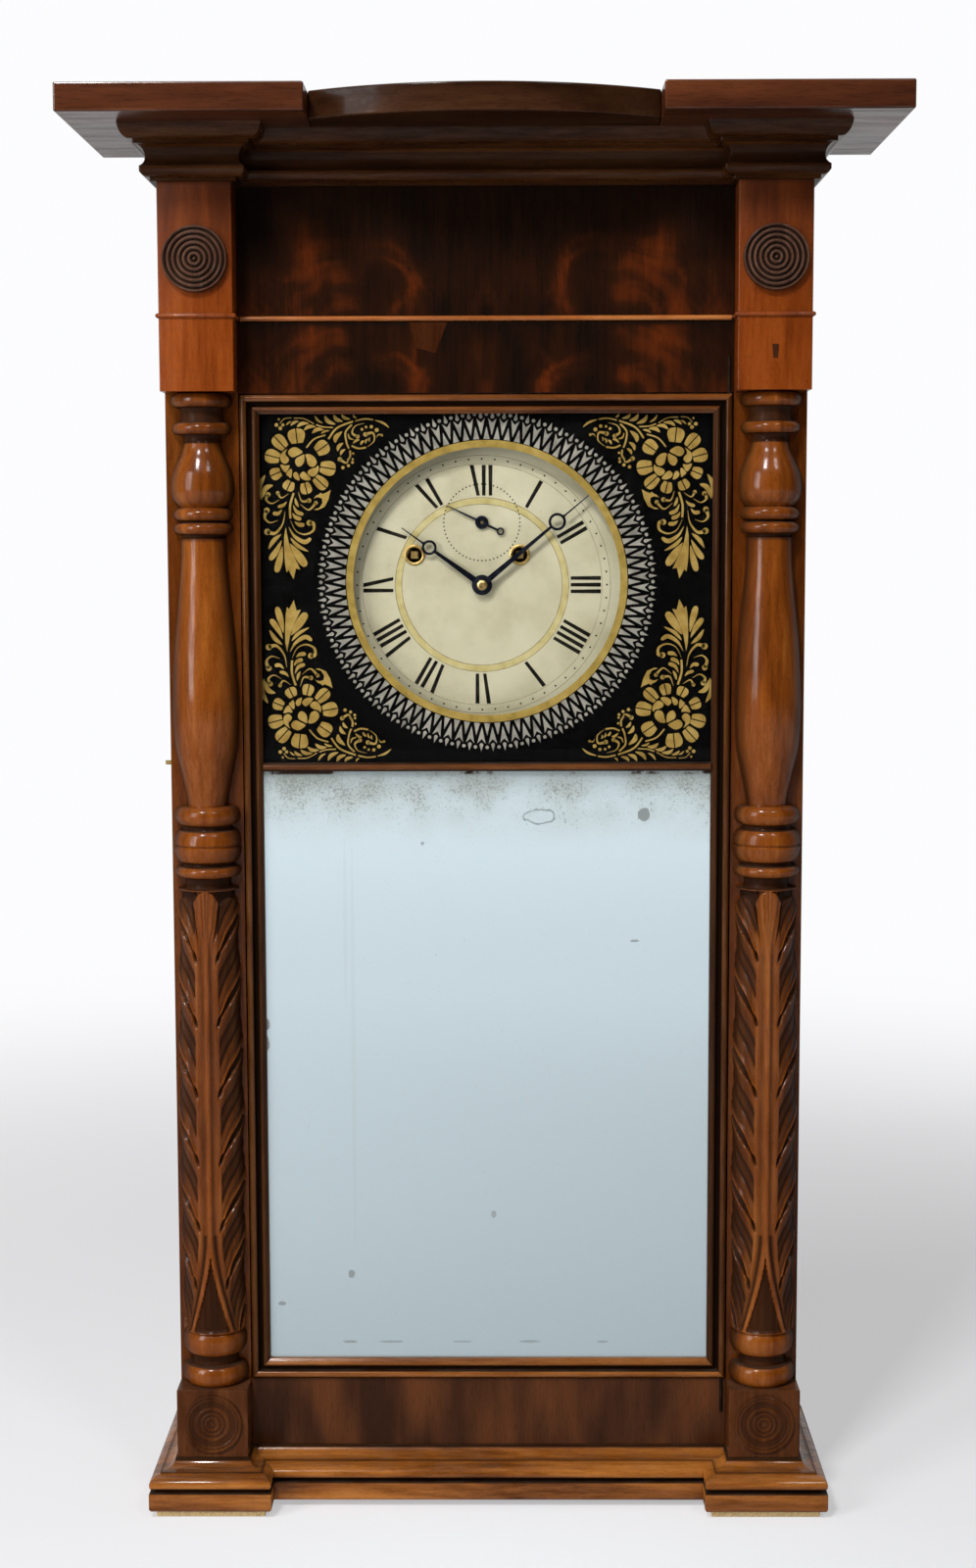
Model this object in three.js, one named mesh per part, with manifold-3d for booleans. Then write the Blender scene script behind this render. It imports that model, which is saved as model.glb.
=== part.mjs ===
// Tall weight-driven mirror shelf clock, in millimetres.
// +X is to the right, +Y goes back from the front of the case, +Z is up.
// The origin is on the shelf, under the middle of the cornice.
import * as THREE from 'three';
import { mergeVertices } from 'three/addons/utils/BufferGeometryUtils.js';
import Module from 'manifold-3d';

const wasm = await Module();
wasm.setup();

// Heights of the case, from the shelf up.
const PAD_HEIGHT = 5.3;
const PLINTH_FILLET = 12.7;
const PLINTH_GROOVE = 3.6;
const PLINTH_BEAD = 8.9;
const PLINTH_CYMA = 5;
const PLINTH_TOP = 1.7;
const LOWER_BLOCK_HEIGHT = 49.8;
const SECOND_BLOCK_HEIGHT = 49.5;
const BEAD_HEIGHT = 3.5;
const UPPER_BLOCK_HEIGHT = 87.7;
const BED_FOOT = 2.4;
const BED_CYMA = 3.6;
const BED_FILLET = 3.4;
const BED_COVE = 14.2;
const BED_BAND = 2.7;
const BED_OVOLO = 10.1;
const SLAB_HEIGHT = 18.9;

// Widths of the case, from its middle line out.
const OPENING_HALF = 172.3;
const STILE_WIDTH = 50.9;
const SIDE_BOARD_THICK = 10;
const SLAB_SIDE_OVERHANG = 57.7;
const CENTRE_SLAB_HALF = 117.7;

// Depths of the case, from the front back.
const SLAB_FRONT_OVERHANG = 60.5;
const BLOCK_PROUD = 25.5;
const CASE_DEPTH = 104;
const STILE_THICK = 18;
const BACK_BOARD_THICK = 8;
const FLOOR_THICK = 10;
const TOP_BOARD_THICK = 10;
const CENTRE_SLAB_END_RECESS = 34.4;
const CENTRE_SLAB_CROWN_RECESS = 2;

// How far each moulding stands out from the face that it is fixed to.
const BED_PROUD = 23;
const LEDGE_FALL = 0.1;
const PLINTH_SIDE_PROUD = 18.2;
const PLINTH_FRONT_PROUD = 20.9;
const BASE_PROUD = 25.4;
const BEAD_PROUD = 2;
const PAD_INSET = 5;

// Turned ornaments.
const ROSETTE_RADIUS = 22.5;
const ROSETTE_RELIEF = 4.5;
const ROSETTE_BELOW_TOP = 51.5;
const BULLSEYE_RADIUS = 21;
const BULLSEYE_RELIEF = 1.8;
const ROSETTE_RINGS = 3;

// Half column, from its base up: rings stand out, necks are plain, and swells are shafts curved through
// radii at shares of their height.
const COLUMN = [
  { ring: 23.9, height: 15 },
  { neck: 17.5, height: 7.5 },
  { ring: 23, height: 17.5 },
  { swell: [22.6, 23.5, 21.4], at: [0, 0.5, 1], height: 321 },
  { neck: 17, height: 8 },
  { ring: 23.5, height: 8 },
  { neck: 20, height: 2.6 },
  { ring: 23.9, height: 22.9 },
  { neck: 19, height: 3.5 },
  { ring: 23.2, height: 13 },
  { swell: [15.8, 23.6, 15.4], at: [0, 0.31, 1], height: 188 },
  { neck: 17, height: 2.7 },
  { ring: 20.9, height: 8.3 },
  { neck: 17.5, height: 1 },
  { ring: 20.9, height: 9 },
  { swell: [17.5, 22, 14.5], at: [0, 0.36, 1], height: 45 },
  { neck: 16, height: 5.5 },
  { ring: 20.9, height: 8.5 },
  { neck: 18.5, height: 10 },
  { ring: 21.5, height: 10 },
];
const RING_BULGE = 3.5;
const RING_TURN = 70;

// Door.
const DOOR_GAP = 0.9;
const DOOR_PROUD = 3.1;
const DOOR_THICK = 18;
const FRAME_WIDTH = 13;
const FRAME_BEAD_RADIUS = 2.5;
const FRAME_GROOVE_WIDTH = 3.2;
const FRAME_GROOVE_DEPTH = 6.5;
const FRAME_INNER_BEAD_RADIUS = 1.7;
const FRAME_INNER_BEAD_SET_BACK = 2.2;
const FRAME_LIP_FRONT = 5;
const FRAME_REBATE_DEPTH = 7.5;
const FRAME_REBATE_WIDTH = 5;
const MID_RAIL_DROP = 257.1;
const MID_RAIL_HEIGHT = 6.4;
const MID_RAIL_SET_BACK = 2.5;
const MID_RAIL_WEB = 2.4;
const MID_RAIL_WEB_DEPTH = 4.5;
const TABLET_THICK = 2.4;
const MIRROR_THICK = 3;
const HINGE_PIN_RADIUS = 1.2;
const HINGE_PIN_REACH = 20;
const HINGE_PIN_SEAT = 25;
const HINGE_INSET = 2.5;
const HINGE_DEPTH = 3;
const CATCH_RADIUS = 1.5;
const CATCH_REACH = 5;
const CATCH_SOCKET_DEPTH = 5;
const CATCH_ABOVE_MID_RAIL = 3;

// Dial and hands, about the centre of the hands.
const HAND_CENTRE_X = -3.2;
const HAND_CENTRE_DROP = 133.2;
const DIAL_LAP = 8;
const DIAL_THICK = 1.5;
const DIAL_HOLE = 5;
const WINDING_HOLE = 6;
const SECONDS_HOLE = 2;
const SECONDS_RISE = 44;
const HAND_THICK = 1;
const HAND_SPACE = 1.4;
const SECONDS_HAND_THICK = 0.6;
const SECONDS_HAND_LIFT = 1.2;
const MINUTE_HAND = { length: 98, ringAt: 69.2, ring: 6.2, eye: 4.3, hub: 6, root: 4.2, waist: 2, tip: 0.7 };
const HOUR_HAND = { length: 69.5, ringAt: 45.6, ring: 5.3, eye: 3.5, hub: 7.2, root: 4.4, waist: 2.2, tip: 0.7 };
const SECONDS_HAND = { length: 26.9, tail: 14.6, ring: 2.8, eye: 1.6, hub: 4.7, root: 1.6, tip: 0.6 };
const COLLET_RADIUS = 3.8;
const COLLET_HEIGHT = 1.8;
const MINUTE_ANGLE = 50.2;
const HOUR_ANGLE = 305.4;
const SECONDS_ANGLE = 295.7;

// Movement: plates and arbors, as seen from the front, about the centre of the hands.
const MOTION_SPACE = 13.3;
const PLATE_THICK = 2;
const PLATE_SPACING = 30;
const PLATE = { left: -92, right: 62, bottom: -36, top: 80 };
const PILLAR_RADIUS = 3;
const POST_RADIUS = 4.5;
const PILLAR_INSET = 6;
const HAMMER_SIDE_PILLAR_X = -58;
const GOING_ARBOR = new THREE.Vector2(26.8, 21.2);
const STRIKE_ARBOR = new THREE.Vector2(-47.7, 21.2);
const THIRD_ARBOR = new THREE.Vector2(-14, 28.2);
const ESCAPE_ARBOR = new THREE.Vector2(0, SECONDS_RISE);
const ANCHOR_RISE = 20;
const PIN_WHEEL_TURN = -107;
const HAMMER_ARBOR = new THREE.Vector2(-78, 45);
const ARBOR_RADIUS = 1.6;
const PIVOT_RADIUS = 0.9;
const CENTRE_RADIUS = 2;
const WINDING_RADIUS = 2.5;
const WINDING_SQUARE = 5;

// Wheels.
const WHEEL_ADDENDUM = 0.65;
const PINION_ADDENDUM = 0.85;
const WHEEL_DEDENDUM = 1.5;
const PINION_DEDENDUM = 1.1;
const GREAT_TEETH = 56;
const CENTRE_TEETH = 64;
const THIRD_TEETH = 60;
const PINION_LEAVES = 8;
const CANNON_LEAVES = 10;
const MINUTE_WHEEL_TEETH = 30;
const MINUTE_PINION_LEAVES = 8;
const HOUR_WHEEL_TEETH = 32;
const MOTION_DISTANCE = 16;
const ESCAPE_TEETH = 40;
const ESCAPE_RADIUS = 14;
const ESCAPE_TOOTH_DEPTH = 2.4;
const WHEEL_THICK = 1.5;
const GREAT_WHEEL_THICK = 2.5;
const PINION_MARGIN = 0.5;
const WHEEL_RIM = 3;
const WHEEL_HUB = 5.5;
const SPOKE_WIDTH = 3;
const SPOKES = 4;
const THIRD_WHEEL_DEPTH = 1.5;
const DRUM_DEPTH = 5;
const DRUM_LENGTH = 14;
const DRUM_RADIUS = 16;
const DRUM_FLANGE = 3;
const DRUM_FLANGE_THICK = 1.2;
const CENTRE_WHEEL_DEPTH = 24;
const ESCAPE_WHEEL_DEPTH = 27;
const PIN_WHEEL_DEPTH = 24.5;
const PIN_WHEEL_RADIUS = 20;
const LIFTING_PINS = 8;
const LIFTING_PIN_RADIUS = 0.8;
const LIFTING_PIN_LENGTH = 3;
const HOUR_PIPE_WALL = 1.3;
const MOTION_WHEEL_THICK = 1.5;
const MINUTE_STUD_RADIUS = 1.5;

// Anchor, pendulum, hammer, bell and weights.
const ANCHOR_SWING = 3.5;
const ANCHOR_STRIP = 2.4;
const PALLET_SPREAD = 45;
const CRUTCH_LENGTH = 48;
const CRUTCH_WIDTH = 4;
const CRUTCH_THICK = 1.6;
const CRUTCH_GAP = 1;
const CRUTCH_PIN_RADIUS = 0.7;
const PENDULUM_LENGTH = 555;
const PENDULUM_ROD_RADIUS = 1.6;
const PENDULUM_PIN_RADIUS = 1.5;
const BOB_RADIUS = 38;
const BOB_THICK = 14;
const RATING_NUT_RADIUS = 5;
const RATING_NUT_DROP = 10;
const COCK_OUT = 6;
const COCK_DEPTH = 10;
const COCK_HALF_WIDTH = 16;
const COCK_HEIGHT = 6;
const COCK_ARM = 4;
const COCK_SLOT_HALF = 3.2;
const COCK_SLOT_DEPTH = 5;
const BELL = new THREE.Vector2(-50, 125);
const BELL_RADIUS = 32;
const BELL_DEPTH = 24;
const BELL_WALL = 2.2;
const BELL_MOUTH_FORWARD = 6;
const BELL_STEM_RADIUS = 4;
const HAMMER_HEAD_RADIUS = 5;
const HAMMER_HEAD_LENGTH = 14;
const HAMMER_REST_GAP = 1;
const HAMMER_ROD = 2;
const HAMMER_TAIL_LENGTH = 36;
const HAMMER_TAIL_TURN = -70;
const WEIGHT_RADIUS = 29;
const WEIGHT_SIDE_GAP = 19;
const WEIGHT_HEIGHT = 150;
const WEIGHT_EDGE = 4;
const WEIGHT_NECK_RADIUS = 4;
const WEIGHT_NECK_HEIGHT = 12;
const WEIGHT_KNOB_RADIUS = 8;
const WEIGHT_KNOB_HEIGHT = 8;

// Clearances.
const FIT = 0.2;
const SEAT_GAP = 0.2;
const RUNNING_GAP = 0.3;
const PIVOT_PLAY = 0.2;
const WELD = 1e-4;

// Levels and planes worked out from the sizes above.
const plinthHeight = PLINTH_FILLET + PLINTH_GROOVE + PLINTH_BEAD + PLINTH_CYMA + PLINTH_TOP;
const bedHeight = BED_FOOT + BED_CYMA + BED_FILLET + BED_COVE + BED_BAND + BED_OVOLO;
const columnHeight = COLUMN.reduce((sum, piece) => sum + piece.height, 0);
const plinthTop = PAD_HEIGHT + plinthHeight;
const lowerBlockTop = plinthTop + LOWER_BLOCK_HEIGHT;
const columnTop = lowerBlockTop + columnHeight;
const beadBottom = columnTop + SECOND_BLOCK_HEIGHT;
const beadTop = beadBottom + BEAD_HEIGHT;
const upperBlockTop = beadTop + UPPER_BLOCK_HEIGHT;
const slabBottom = upperBlockTop + bedHeight;
const slabTop = slabBottom + SLAB_HEIGHT;
const floorTop = plinthTop + FLOOR_THICK;

const caseHalf = OPENING_HALF + STILE_WIDTH;
const blockMiddle = OPENING_HALF + STILE_WIDTH / 2;
const slabHalf = caseHalf + SLAB_SIDE_OVERHANG;
const insideHalf = caseHalf - SIDE_BOARD_THICK - FIT;

const back = (SLAB_FRONT_OVERHANG + BLOCK_PROUD + CASE_DEPTH) / 2;
const slabFront = -back;
const stileFront = back - CASE_DEPTH;
const stileBack = stileFront + STILE_THICK;
const blockFront = stileFront - BLOCK_PROUD;
const backBoardFront = back - BACK_BOARD_THICK;

const doorHalf = OPENING_HALF - DOOR_GAP;
const doorBottom = lowerBlockTop + DOOR_GAP;
const doorTop = columnTop - DOOR_GAP;
const doorFront = stileFront - DOOR_PROUD;
const sightHalf = doorHalf - FRAME_WIDTH;
const rebateInset = FRAME_WIDTH - FRAME_REBATE_WIDTH;
const midRailTop = doorTop - MID_RAIL_DROP;
const midRailMiddle = midRailTop - MID_RAIL_HEIGHT / 2;
const glassFront = doorFront + FRAME_REBATE_DEPTH + SEAT_GAP;
const hinge = new THREE.Vector2(doorHalf - HINGE_INSET, doorFront + HINGE_DEPTH);
const catchMiddle = stileFront + STILE_THICK / 2;
const catchHeight = midRailMiddle + CATCH_ABOVE_MID_RAIL;

const handCentreZ = columnTop - HAND_CENTRE_DROP;
const dialFront = stileBack + SEAT_GAP;
const dialBack = dialFront + DIAL_THICK;
const hourHandBack = dialFront - 2 * HAND_SPACE;
const minuteHandBack = hourHandBack - HAND_THICK - HAND_SPACE;
const minuteHandFront = minuteHandBack - HAND_THICK;
const secondsHandBack = dialFront - SECONDS_HAND_LIFT;
const frontPlateFront = dialBack + MOTION_SPACE;
const frontPlateBack = frontPlateFront + PLATE_THICK;
const backPlateFront = frontPlateBack + PLATE_SPACING;
const backPlateBack = backPlateFront + PLATE_THICK;
const anchorArbor = new THREE.Vector2(ESCAPE_ARBOR.x, ESCAPE_ARBOR.y + ANCHOR_RISE);

// Closed geometry with merged corners and outward faces, holding positions alone.
function closed(geometry) {
  const bare = geometry.clone();
  bare.deleteAttribute('normal');
  bare.deleteAttribute('uv');
  const merged = mergeVertices(bare, WELD);
  const position = merged.attributes.position;
  const corner = [new THREE.Vector3(), new THREE.Vector3(), new THREE.Vector3()];
  const triangles = [];
  let volume = 0;
  for (let first = 0; first < merged.index.count; first += 3) {
    const ends = [0, 1, 2].map((step) => merged.index.getX(first + step));
    if (new Set(ends).size === 3) {
      triangles.push(ends);
      corner.forEach((point, step) => point.fromBufferAttribute(position, ends[step]));
      volume += corner[0].dot(corner[1].cross(corner[2]));
    }
  }
  const outward = volume < 0 ? triangles.map(([a, b, c]) => [a, c, b]) : triangles;
  merged.setIndex(outward.flat());
  return merged;
}

// Boolean cuts and joins.
function solid(geometry) {
  const body = closed(geometry);
  const vertProperties = new Float32Array(body.attributes.position.array);
  const triVerts = new Uint32Array(body.index.array);
  return new wasm.Manifold(new wasm.Mesh({ numProp: 3, vertProperties, triVerts }));
}

function geometryOf(body) {
  const mesh = body.getMesh();
  const geometry = new THREE.BufferGeometry();
  geometry.setAttribute('position', new THREE.BufferAttribute(mesh.vertProperties, 3));
  geometry.setIndex(new THREE.BufferAttribute(mesh.triVerts, 1));
  return geometry;
}

function join(...pieces) {
  return geometryOf(pieces.map(solid).reduce((whole, piece) => whole.add(piece)));
}

function cut(piece, ...tools) {
  return geometryOf(tools.map(solid).reduce((rest, tool) => rest.subtract(tool), solid(piece)));
}

// Plain shapes in the clock's own directions. Each span is given as [start, end].
function box(x, y, z) {
  return stackedRectangles(z.map((level) => ({ x, y, z: level })));
}

// Point at a radius and an angle from +x towards +z.
function polar(radius, turn) {
  return new THREE.Vector2(radius * Math.cos(turn), radius * Math.sin(turn));
}

function mirrored(geometry) {
  return geometry.clone().scale(-1, 1, 1);
}

// Outline in x and z, run back from y[0] to y[1].
function runBack(shape, y, curveSegments = 8) {
  const prism = new THREE.ExtrudeGeometry(shape, { depth: y[1] - y[0], bevelEnabled: false, curveSegments });
  return prism.rotateX(Math.PI / 2).translate(0, y[1], 0);
}

// Rod along y at (x, z).
function rodBack(at, radius, y, sides = 12) {
  const rod = new THREE.CylinderGeometry(radius, radius, y[1] - y[0], sides);
  return rod.translate(at.x, (y[0] + y[1]) / 2, at.y);
}

// Rod along z at (x, y).
function rodUp(at, radius, z, sides = 12) {
  const rod = new THREE.CylinderGeometry(radius, radius, z[1] - z[0], sides).rotateX(Math.PI / 2);
  return rod.translate(at.x, at.y, (z[0] + z[1]) / 2);
}

// Rod along x at (y, z).
function rodAcross(at, radius, x, sides = 12) {
  const rod = new THREE.CylinderGeometry(radius, radius, x[1] - x[0], sides).rotateZ(Math.PI / 2);
  return rod.translate((x[0] + x[1]) / 2, at.x, at.y);
}

// Turned rod along y at (x, z), given as [end, radius] steps from its start.
function steppedRod(at, start, steps, sides = 8) {
  const profile = [new THREE.Vector2(0, start)];
  let from = start;
  steps.forEach(([end, radius]) => {
    profile.push(new THREE.Vector2(radius, from), new THREE.Vector2(radius, end));
    from = end;
  });
  profile.push(new THREE.Vector2(0, from));
  return new THREE.LatheGeometry(profile, sides).translate(at.x, 0, at.y);
}

// Flat bar between two points in x and z.
function flatBar(from, to, width, y, endWidth = width) {
  const across = to.clone().sub(from).rotateAround(new THREE.Vector2(), Math.PI / 2).normalize();
  const outline = [
    from.clone().addScaledVector(across, width / 2),
    from.clone().addScaledVector(across, -width / 2),
    to.clone().addScaledVector(across, -endWidth / 2),
    to.clone().addScaledVector(across, endWidth / 2),
  ];
  return runBack(new THREE.Shape(outline), y);
}

// Stack of level rectangles joined side to side, as a mitred moulding is.
function stackedRectangles(levels) {
  const position = levels.flatMap(({ x, y, z }) => [
    [x[0], y[0], z], [x[1], y[0], z], [x[1], y[1], z], [x[0], y[1], z],
  ]);
  const index = [0, 2, 1, 0, 3, 2];
  for (let level = 0; level + 1 < levels.length; level += 1) {
    for (let side = 0; side < 4; side += 1) {
      const a = 4 * level + side;
      const b = 4 * level + ((side + 1) % 4);
      index.push(a, b, b + 4, a, b + 4, a + 4);
    }
  }
  const top = 4 * (levels.length - 1);
  index.push(top, top + 1, top + 2, top, top + 2, top + 3);
  const geometry = new THREE.BufferGeometry();
  geometry.setAttribute('position', new THREE.Float32BufferAttribute(position.flat(), 3));
  geometry.setIndex(index);
  return geometry;
}

// Woods, metals, glass and paint.
function finish(color, roughness, metalness = 0) {
  return new THREE.MeshStandardMaterial({ color, roughness, metalness });
}

const polishedWood = finish(0x8a4a1c, 0.35);
const darkVeneer = finish(0x3a1a10, 0.3);
const rosetteWood = finish(0x2e1812, 0.45);
const rawWood = finish(0x9a7a58, 0.8);
const padFelt = finish(0xe0d2ac, 0.9);
const blackGlass = finish(0x060606, 0.08);
const mirrorSilver = finish(0xb4c6ca, 0.06, 1);
const dialPaint = finish(0xcfcbb0, 0.5);
const blueSteel = finish(0x14141a, 0.35, 0.9);
const brass = finish(0xb08d45, 0.35, 1);
const castIron = finish(0x2b2b2b, 0.7, 0.6);
const wireIron = finish(0x3c3a38, 0.5, 0.9);

const clock = new THREE.Group();
const caseGroup = new THREE.Group();
const doorGroup = new THREE.Group();
const movementGroup = new THREE.Group();
movementGroup.position.set(HAND_CENTRE_X, 0, handCentreZ);
clock.add(caseGroup, doorGroup, movementGroup);

function addPiece(parent, name, geometry, material) {
  const mesh = new THREE.Mesh(closed(geometry), material.clone());
  mesh.name = name;
  parent.add(mesh);
  return mesh;
}

function addPair(name, rightGeometry, material) {
  addPiece(caseGroup, `left_${name}`, mirrored(rightGeometry), material);
  addPiece(caseGroup, `right_${name}`, rightGeometry, material);
}

// Carcase boards.
const insideDepth = [stileBack + FIT, backBoardFront - FIT];
const fullHeight = [plinthTop, slabBottom];
addPiece(caseGroup, 'back_board', box([-insideHalf, insideHalf], [backBoardFront, back], fullHeight), rawWood);
addPair('side_board', box([caseHalf - SIDE_BOARD_THICK, caseHalf], [stileBack, back], fullHeight), polishedWood);
addPiece(caseGroup, 'case_floor', box([-insideHalf, insideHalf], insideDepth, [plinthTop, floorTop]), rawWood);
const topBoardHeights = [slabBottom - TOP_BOARD_THICK, slabBottom];
addPiece(caseGroup, 'case_top_board', box([-insideHalf, insideHalf], insideDepth, topBoardHeights), rawWood);

// Stiles behind the columns. The left one is bored for the catch pin.
const stile = box([OPENING_HALF, caseHalf], [stileFront, stileBack], fullHeight);
const catchBore = rodAcross(
  new THREE.Vector2(catchMiddle, catchHeight),
  CATCH_RADIUS + RUNNING_GAP,
  [-caseHalf - CATCH_REACH, -OPENING_HALF + DOOR_GAP],
);
addPiece(caseGroup, 'left_stile', cut(mirrored(stile), catchBore), polishedWood);
addPiece(caseGroup, 'right_stile', stile, polishedWood);

// Frieze board over the door with its bead strip, and the rail under the door.
// Both are bored for the hinge pins.
const railSpan = [-OPENING_HALF + FIT, OPENING_HALF - FIT];
const railDepth = [stileFront, stileBack];
const beadStrip = new THREE.CylinderGeometry(1, 1, 2 * (OPENING_HALF - BEAD_PROUD - FIT), 12)
  .rotateZ(Math.PI / 2)
  .scale(1, BEAD_PROUD, BEAD_HEIGHT / 2)
  .translate(0, stileFront, (beadBottom + beadTop) / 2);
const upperPinHeights = [doorTop - HINGE_PIN_REACH, columnTop + HINGE_PIN_SEAT];
const lowerPinHeights = [lowerBlockTop - HINGE_PIN_SEAT, doorBottom + HINGE_PIN_REACH];
const upperPinSeat = rodUp(hinge, HINGE_PIN_RADIUS + FIT, upperPinHeights);
const lowerPinSeat = rodUp(hinge, HINGE_PIN_RADIUS + FIT, lowerPinHeights);
const friezeBoard = join(box(railSpan, railDepth, [columnTop, slabBottom]), beadStrip);
addPiece(caseGroup, 'frieze_board', cut(friezeBoard, upperPinSeat), darkVeneer);
const bottomRail = box(railSpan, railDepth, [plinthTop, lowerBlockTop]);
addPiece(caseGroup, 'bottom_rail', cut(bottomRail, lowerPinSeat), darkVeneer);

// Cornice: two flat slabs and a bow-fronted slab between them.
const slabHeights = [slabBottom, slabTop];
const sideSlab = box([CENTRE_SLAB_HALF, slabHalf], [slabFront, back], slabHeights);
addPiece(caseGroup, 'cornice_left_slab', mirrored(sideSlab), darkVeneer);
addPiece(caseGroup, 'cornice_right_slab', sideSlab, darkVeneer);
const bowHalf = CENTRE_SLAB_HALF - FIT;
const bowRise = CENTRE_SLAB_END_RECESS - CENTRE_SLAB_CROWN_RECESS;
const bowRadius = (bowHalf * bowHalf + bowRise * bowRise) / (2 * bowRise);
const bowTurn = Math.asin(bowHalf / bowRadius);
const bowCentreY = slabFront + CENTRE_SLAB_CROWN_RECESS + bowRadius;
const bowPlan = new THREE.Shape();
bowPlan.moveTo(bowHalf, back);
bowPlan.lineTo(-bowHalf, back);
bowPlan.absarc(0, bowCentreY, bowRadius, -Math.PI / 2 - bowTurn, -Math.PI / 2 + bowTurn, false);
bowPlan.closePath();
const bowSlab = new THREE.ExtrudeGeometry(bowPlan, { depth: SLAB_HEIGHT, bevelEnabled: false, curveSegments: 12 });
addPiece(caseGroup, 'cornice_centre_slab', bowSlab.translate(0, 0, slabBottom), darkVeneer);

// Bed moulding: share of its full projection against height, from its foot up.
const bedFilletBottom = BED_FOOT + BED_CYMA;
const bedCoveBottom = bedFilletBottom + BED_FILLET;
const bedBandBottom = bedCoveBottom + BED_COVE;
const bedOvoloBottom = bedBandBottom + BED_BAND;
const bedProfile = new THREE.Path();
bedProfile.moveTo(0.17, 0);
bedProfile.lineTo(0.17, BED_FOOT);
bedProfile.quadraticCurveTo(0.36, BED_FOOT, 0.44, bedFilletBottom);
bedProfile.lineTo(0.44, bedCoveBottom);
bedProfile.bezierCurveTo(0.18, bedCoveBottom + BED_COVE / 4, 0.26, bedBandBottom - BED_COVE / 7, 0.5, bedBandBottom);
bedProfile.lineTo(0.6, bedBandBottom + LEDGE_FALL);
bedProfile.lineTo(0.6, bedOvoloBottom);
bedProfile.lineTo(0.74, bedOvoloBottom + LEDGE_FALL);
bedProfile.quadraticCurveTo(0.95, bedOvoloBottom + BED_OVOLO / 5, 1, bedHeight);
const bedSteps = bedProfile.getPoints(4);

const bedCorner = stackedRectangles(bedSteps.map((step) => ({
  x: [OPENING_HALF - step.x * BED_PROUD, caseHalf + step.x * BED_PROUD],
  y: [blockFront - step.x * BED_PROUD, back],
  z: upperBlockTop + step.y,
})));
const caseInside = box([0, caseHalf + FIT], [stileFront, back + SEAT_GAP], [upperBlockTop - FIT, slabBottom + FIT]);
addPair('bed_moulding', cut(bedCorner, caseInside), polishedWood);
const bedCentre = stackedRectangles(bedSteps.map((step) => {
  const half = OPENING_HALF - step.x * BED_PROUD - FIT;
  return { x: [-half, half], y: [stileFront - step.x * BED_PROUD, stileFront], z: upperBlockTop + step.y };
}));
addPiece(caseGroup, 'centre_bed_moulding', bedCentre, polishedWood);

// Corner blocks, with a half-round bead round three sides.
const blockBead = [0, 1, 2, 3, 4].map((step) => {
  const turn = (step * Math.PI) / 4;
  return {
    proud: BEAD_PROUD * Math.sin(turn),
    z: (beadBottom + beadTop) / 2 - (BEAD_HEIGHT / 2) * Math.cos(turn),
  };
});
const blockLevels = [{ proud: 0, z: columnTop }, ...blockBead, { proud: 0, z: upperBlockTop }];
const cornerBlock = stackedRectangles(blockLevels.map(({ proud, z }) => ({
  x: [OPENING_HALF - proud, caseHalf + proud],
  y: [blockFront - proud, stileFront],
  z,
})));
addPair('corner_block', cornerBlock, polishedWood);

// Turned disc with raised rings, standing out towards -y from the plane y = 0.
function turnedDisc(radius, relief) {
  const profile = [new THREE.Vector2(0, -relief)];
  const pitch = radius / (ROSETTE_RINGS + 0.5);
  for (let ring = 0; ring < ROSETTE_RINGS; ring += 1) {
    const crest = (ring + 0.15) * pitch;
    profile.push(
      new THREE.Vector2(crest + 0.2 * pitch, -relief),
      new THREE.Vector2(crest + 0.45 * pitch, -relief / 2),
      new THREE.Vector2(crest + 0.8 * pitch, -relief),
    );
  }
  profile.push(
    new THREE.Vector2(radius - 0.1 * pitch, -relief),
    new THREE.Vector2(radius, -relief / 2),
    new THREE.Vector2(radius, 0),
    new THREE.Vector2(0, 0),
  );
  return new THREE.LatheGeometry(profile, 16);
}

const rosetteHeight = upperBlockTop - ROSETTE_BELOW_TOP;
const rosette = turnedDisc(ROSETTE_RADIUS, ROSETTE_RELIEF).translate(blockMiddle, blockFront, rosetteHeight);
addPair('rosette', rosette, rosetteWood);

// Half columns: a full turning with its back half sawn off.
function columnProfile() {
  const profile = [new THREE.Vector2(0, lowerBlockTop)];
  let z = lowerBlockTop;
  COLUMN.forEach(({ ring, neck, swell, at, height }) => {
    if (ring) {
      const edge = THREE.MathUtils.degToRad(RING_TURN);
      [-edge, -edge / 3, edge / 3, edge].forEach((turn) => {
        const radius = ring - RING_BULGE * (1 - Math.cos(turn));
        profile.push(new THREE.Vector2(radius, z + (height / 2) * (1 + Math.sin(turn) / Math.sin(edge))));
      });
    } else if (neck) {
      profile.push(new THREE.Vector2(neck, z), new THREE.Vector2(neck, z + height));
    } else {
      const knots = swell.map((radius, knot) => new THREE.Vector2(radius, z + at[knot] * height));
      profile.push(...new THREE.SplineCurve(knots).getPoints(6));
    }
    z += height;
  });
  profile.push(new THREE.Vector2(0, z));
  return profile;
}

const turning = new THREE.LatheGeometry(columnProfile(), 12)
  .rotateX(Math.PI / 2)
  .translate(blockMiddle, stileFront, 0);
const widest = STILE_WIDTH;
const sawnOff = box(
  [blockMiddle - widest, blockMiddle + widest],
  [stileFront, stileFront + widest],
  [lowerBlockTop - widest, columnTop + widest],
);
addPair('column', cut(turning, sawnOff), polishedWood);

// Lower blocks with a turned bullseye.
const lowerBlock = box([OPENING_HALF, caseHalf], [blockFront, stileFront], [plinthTop, lowerBlockTop]);
const bullseye = turnedDisc(BULLSEYE_RADIUS, BULLSEYE_RELIEF)
  .translate(blockMiddle, blockFront, (plinthTop + lowerBlockTop) / 2);
addPair('lower_block', join(lowerBlock, bullseye), polishedWood);

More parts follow.
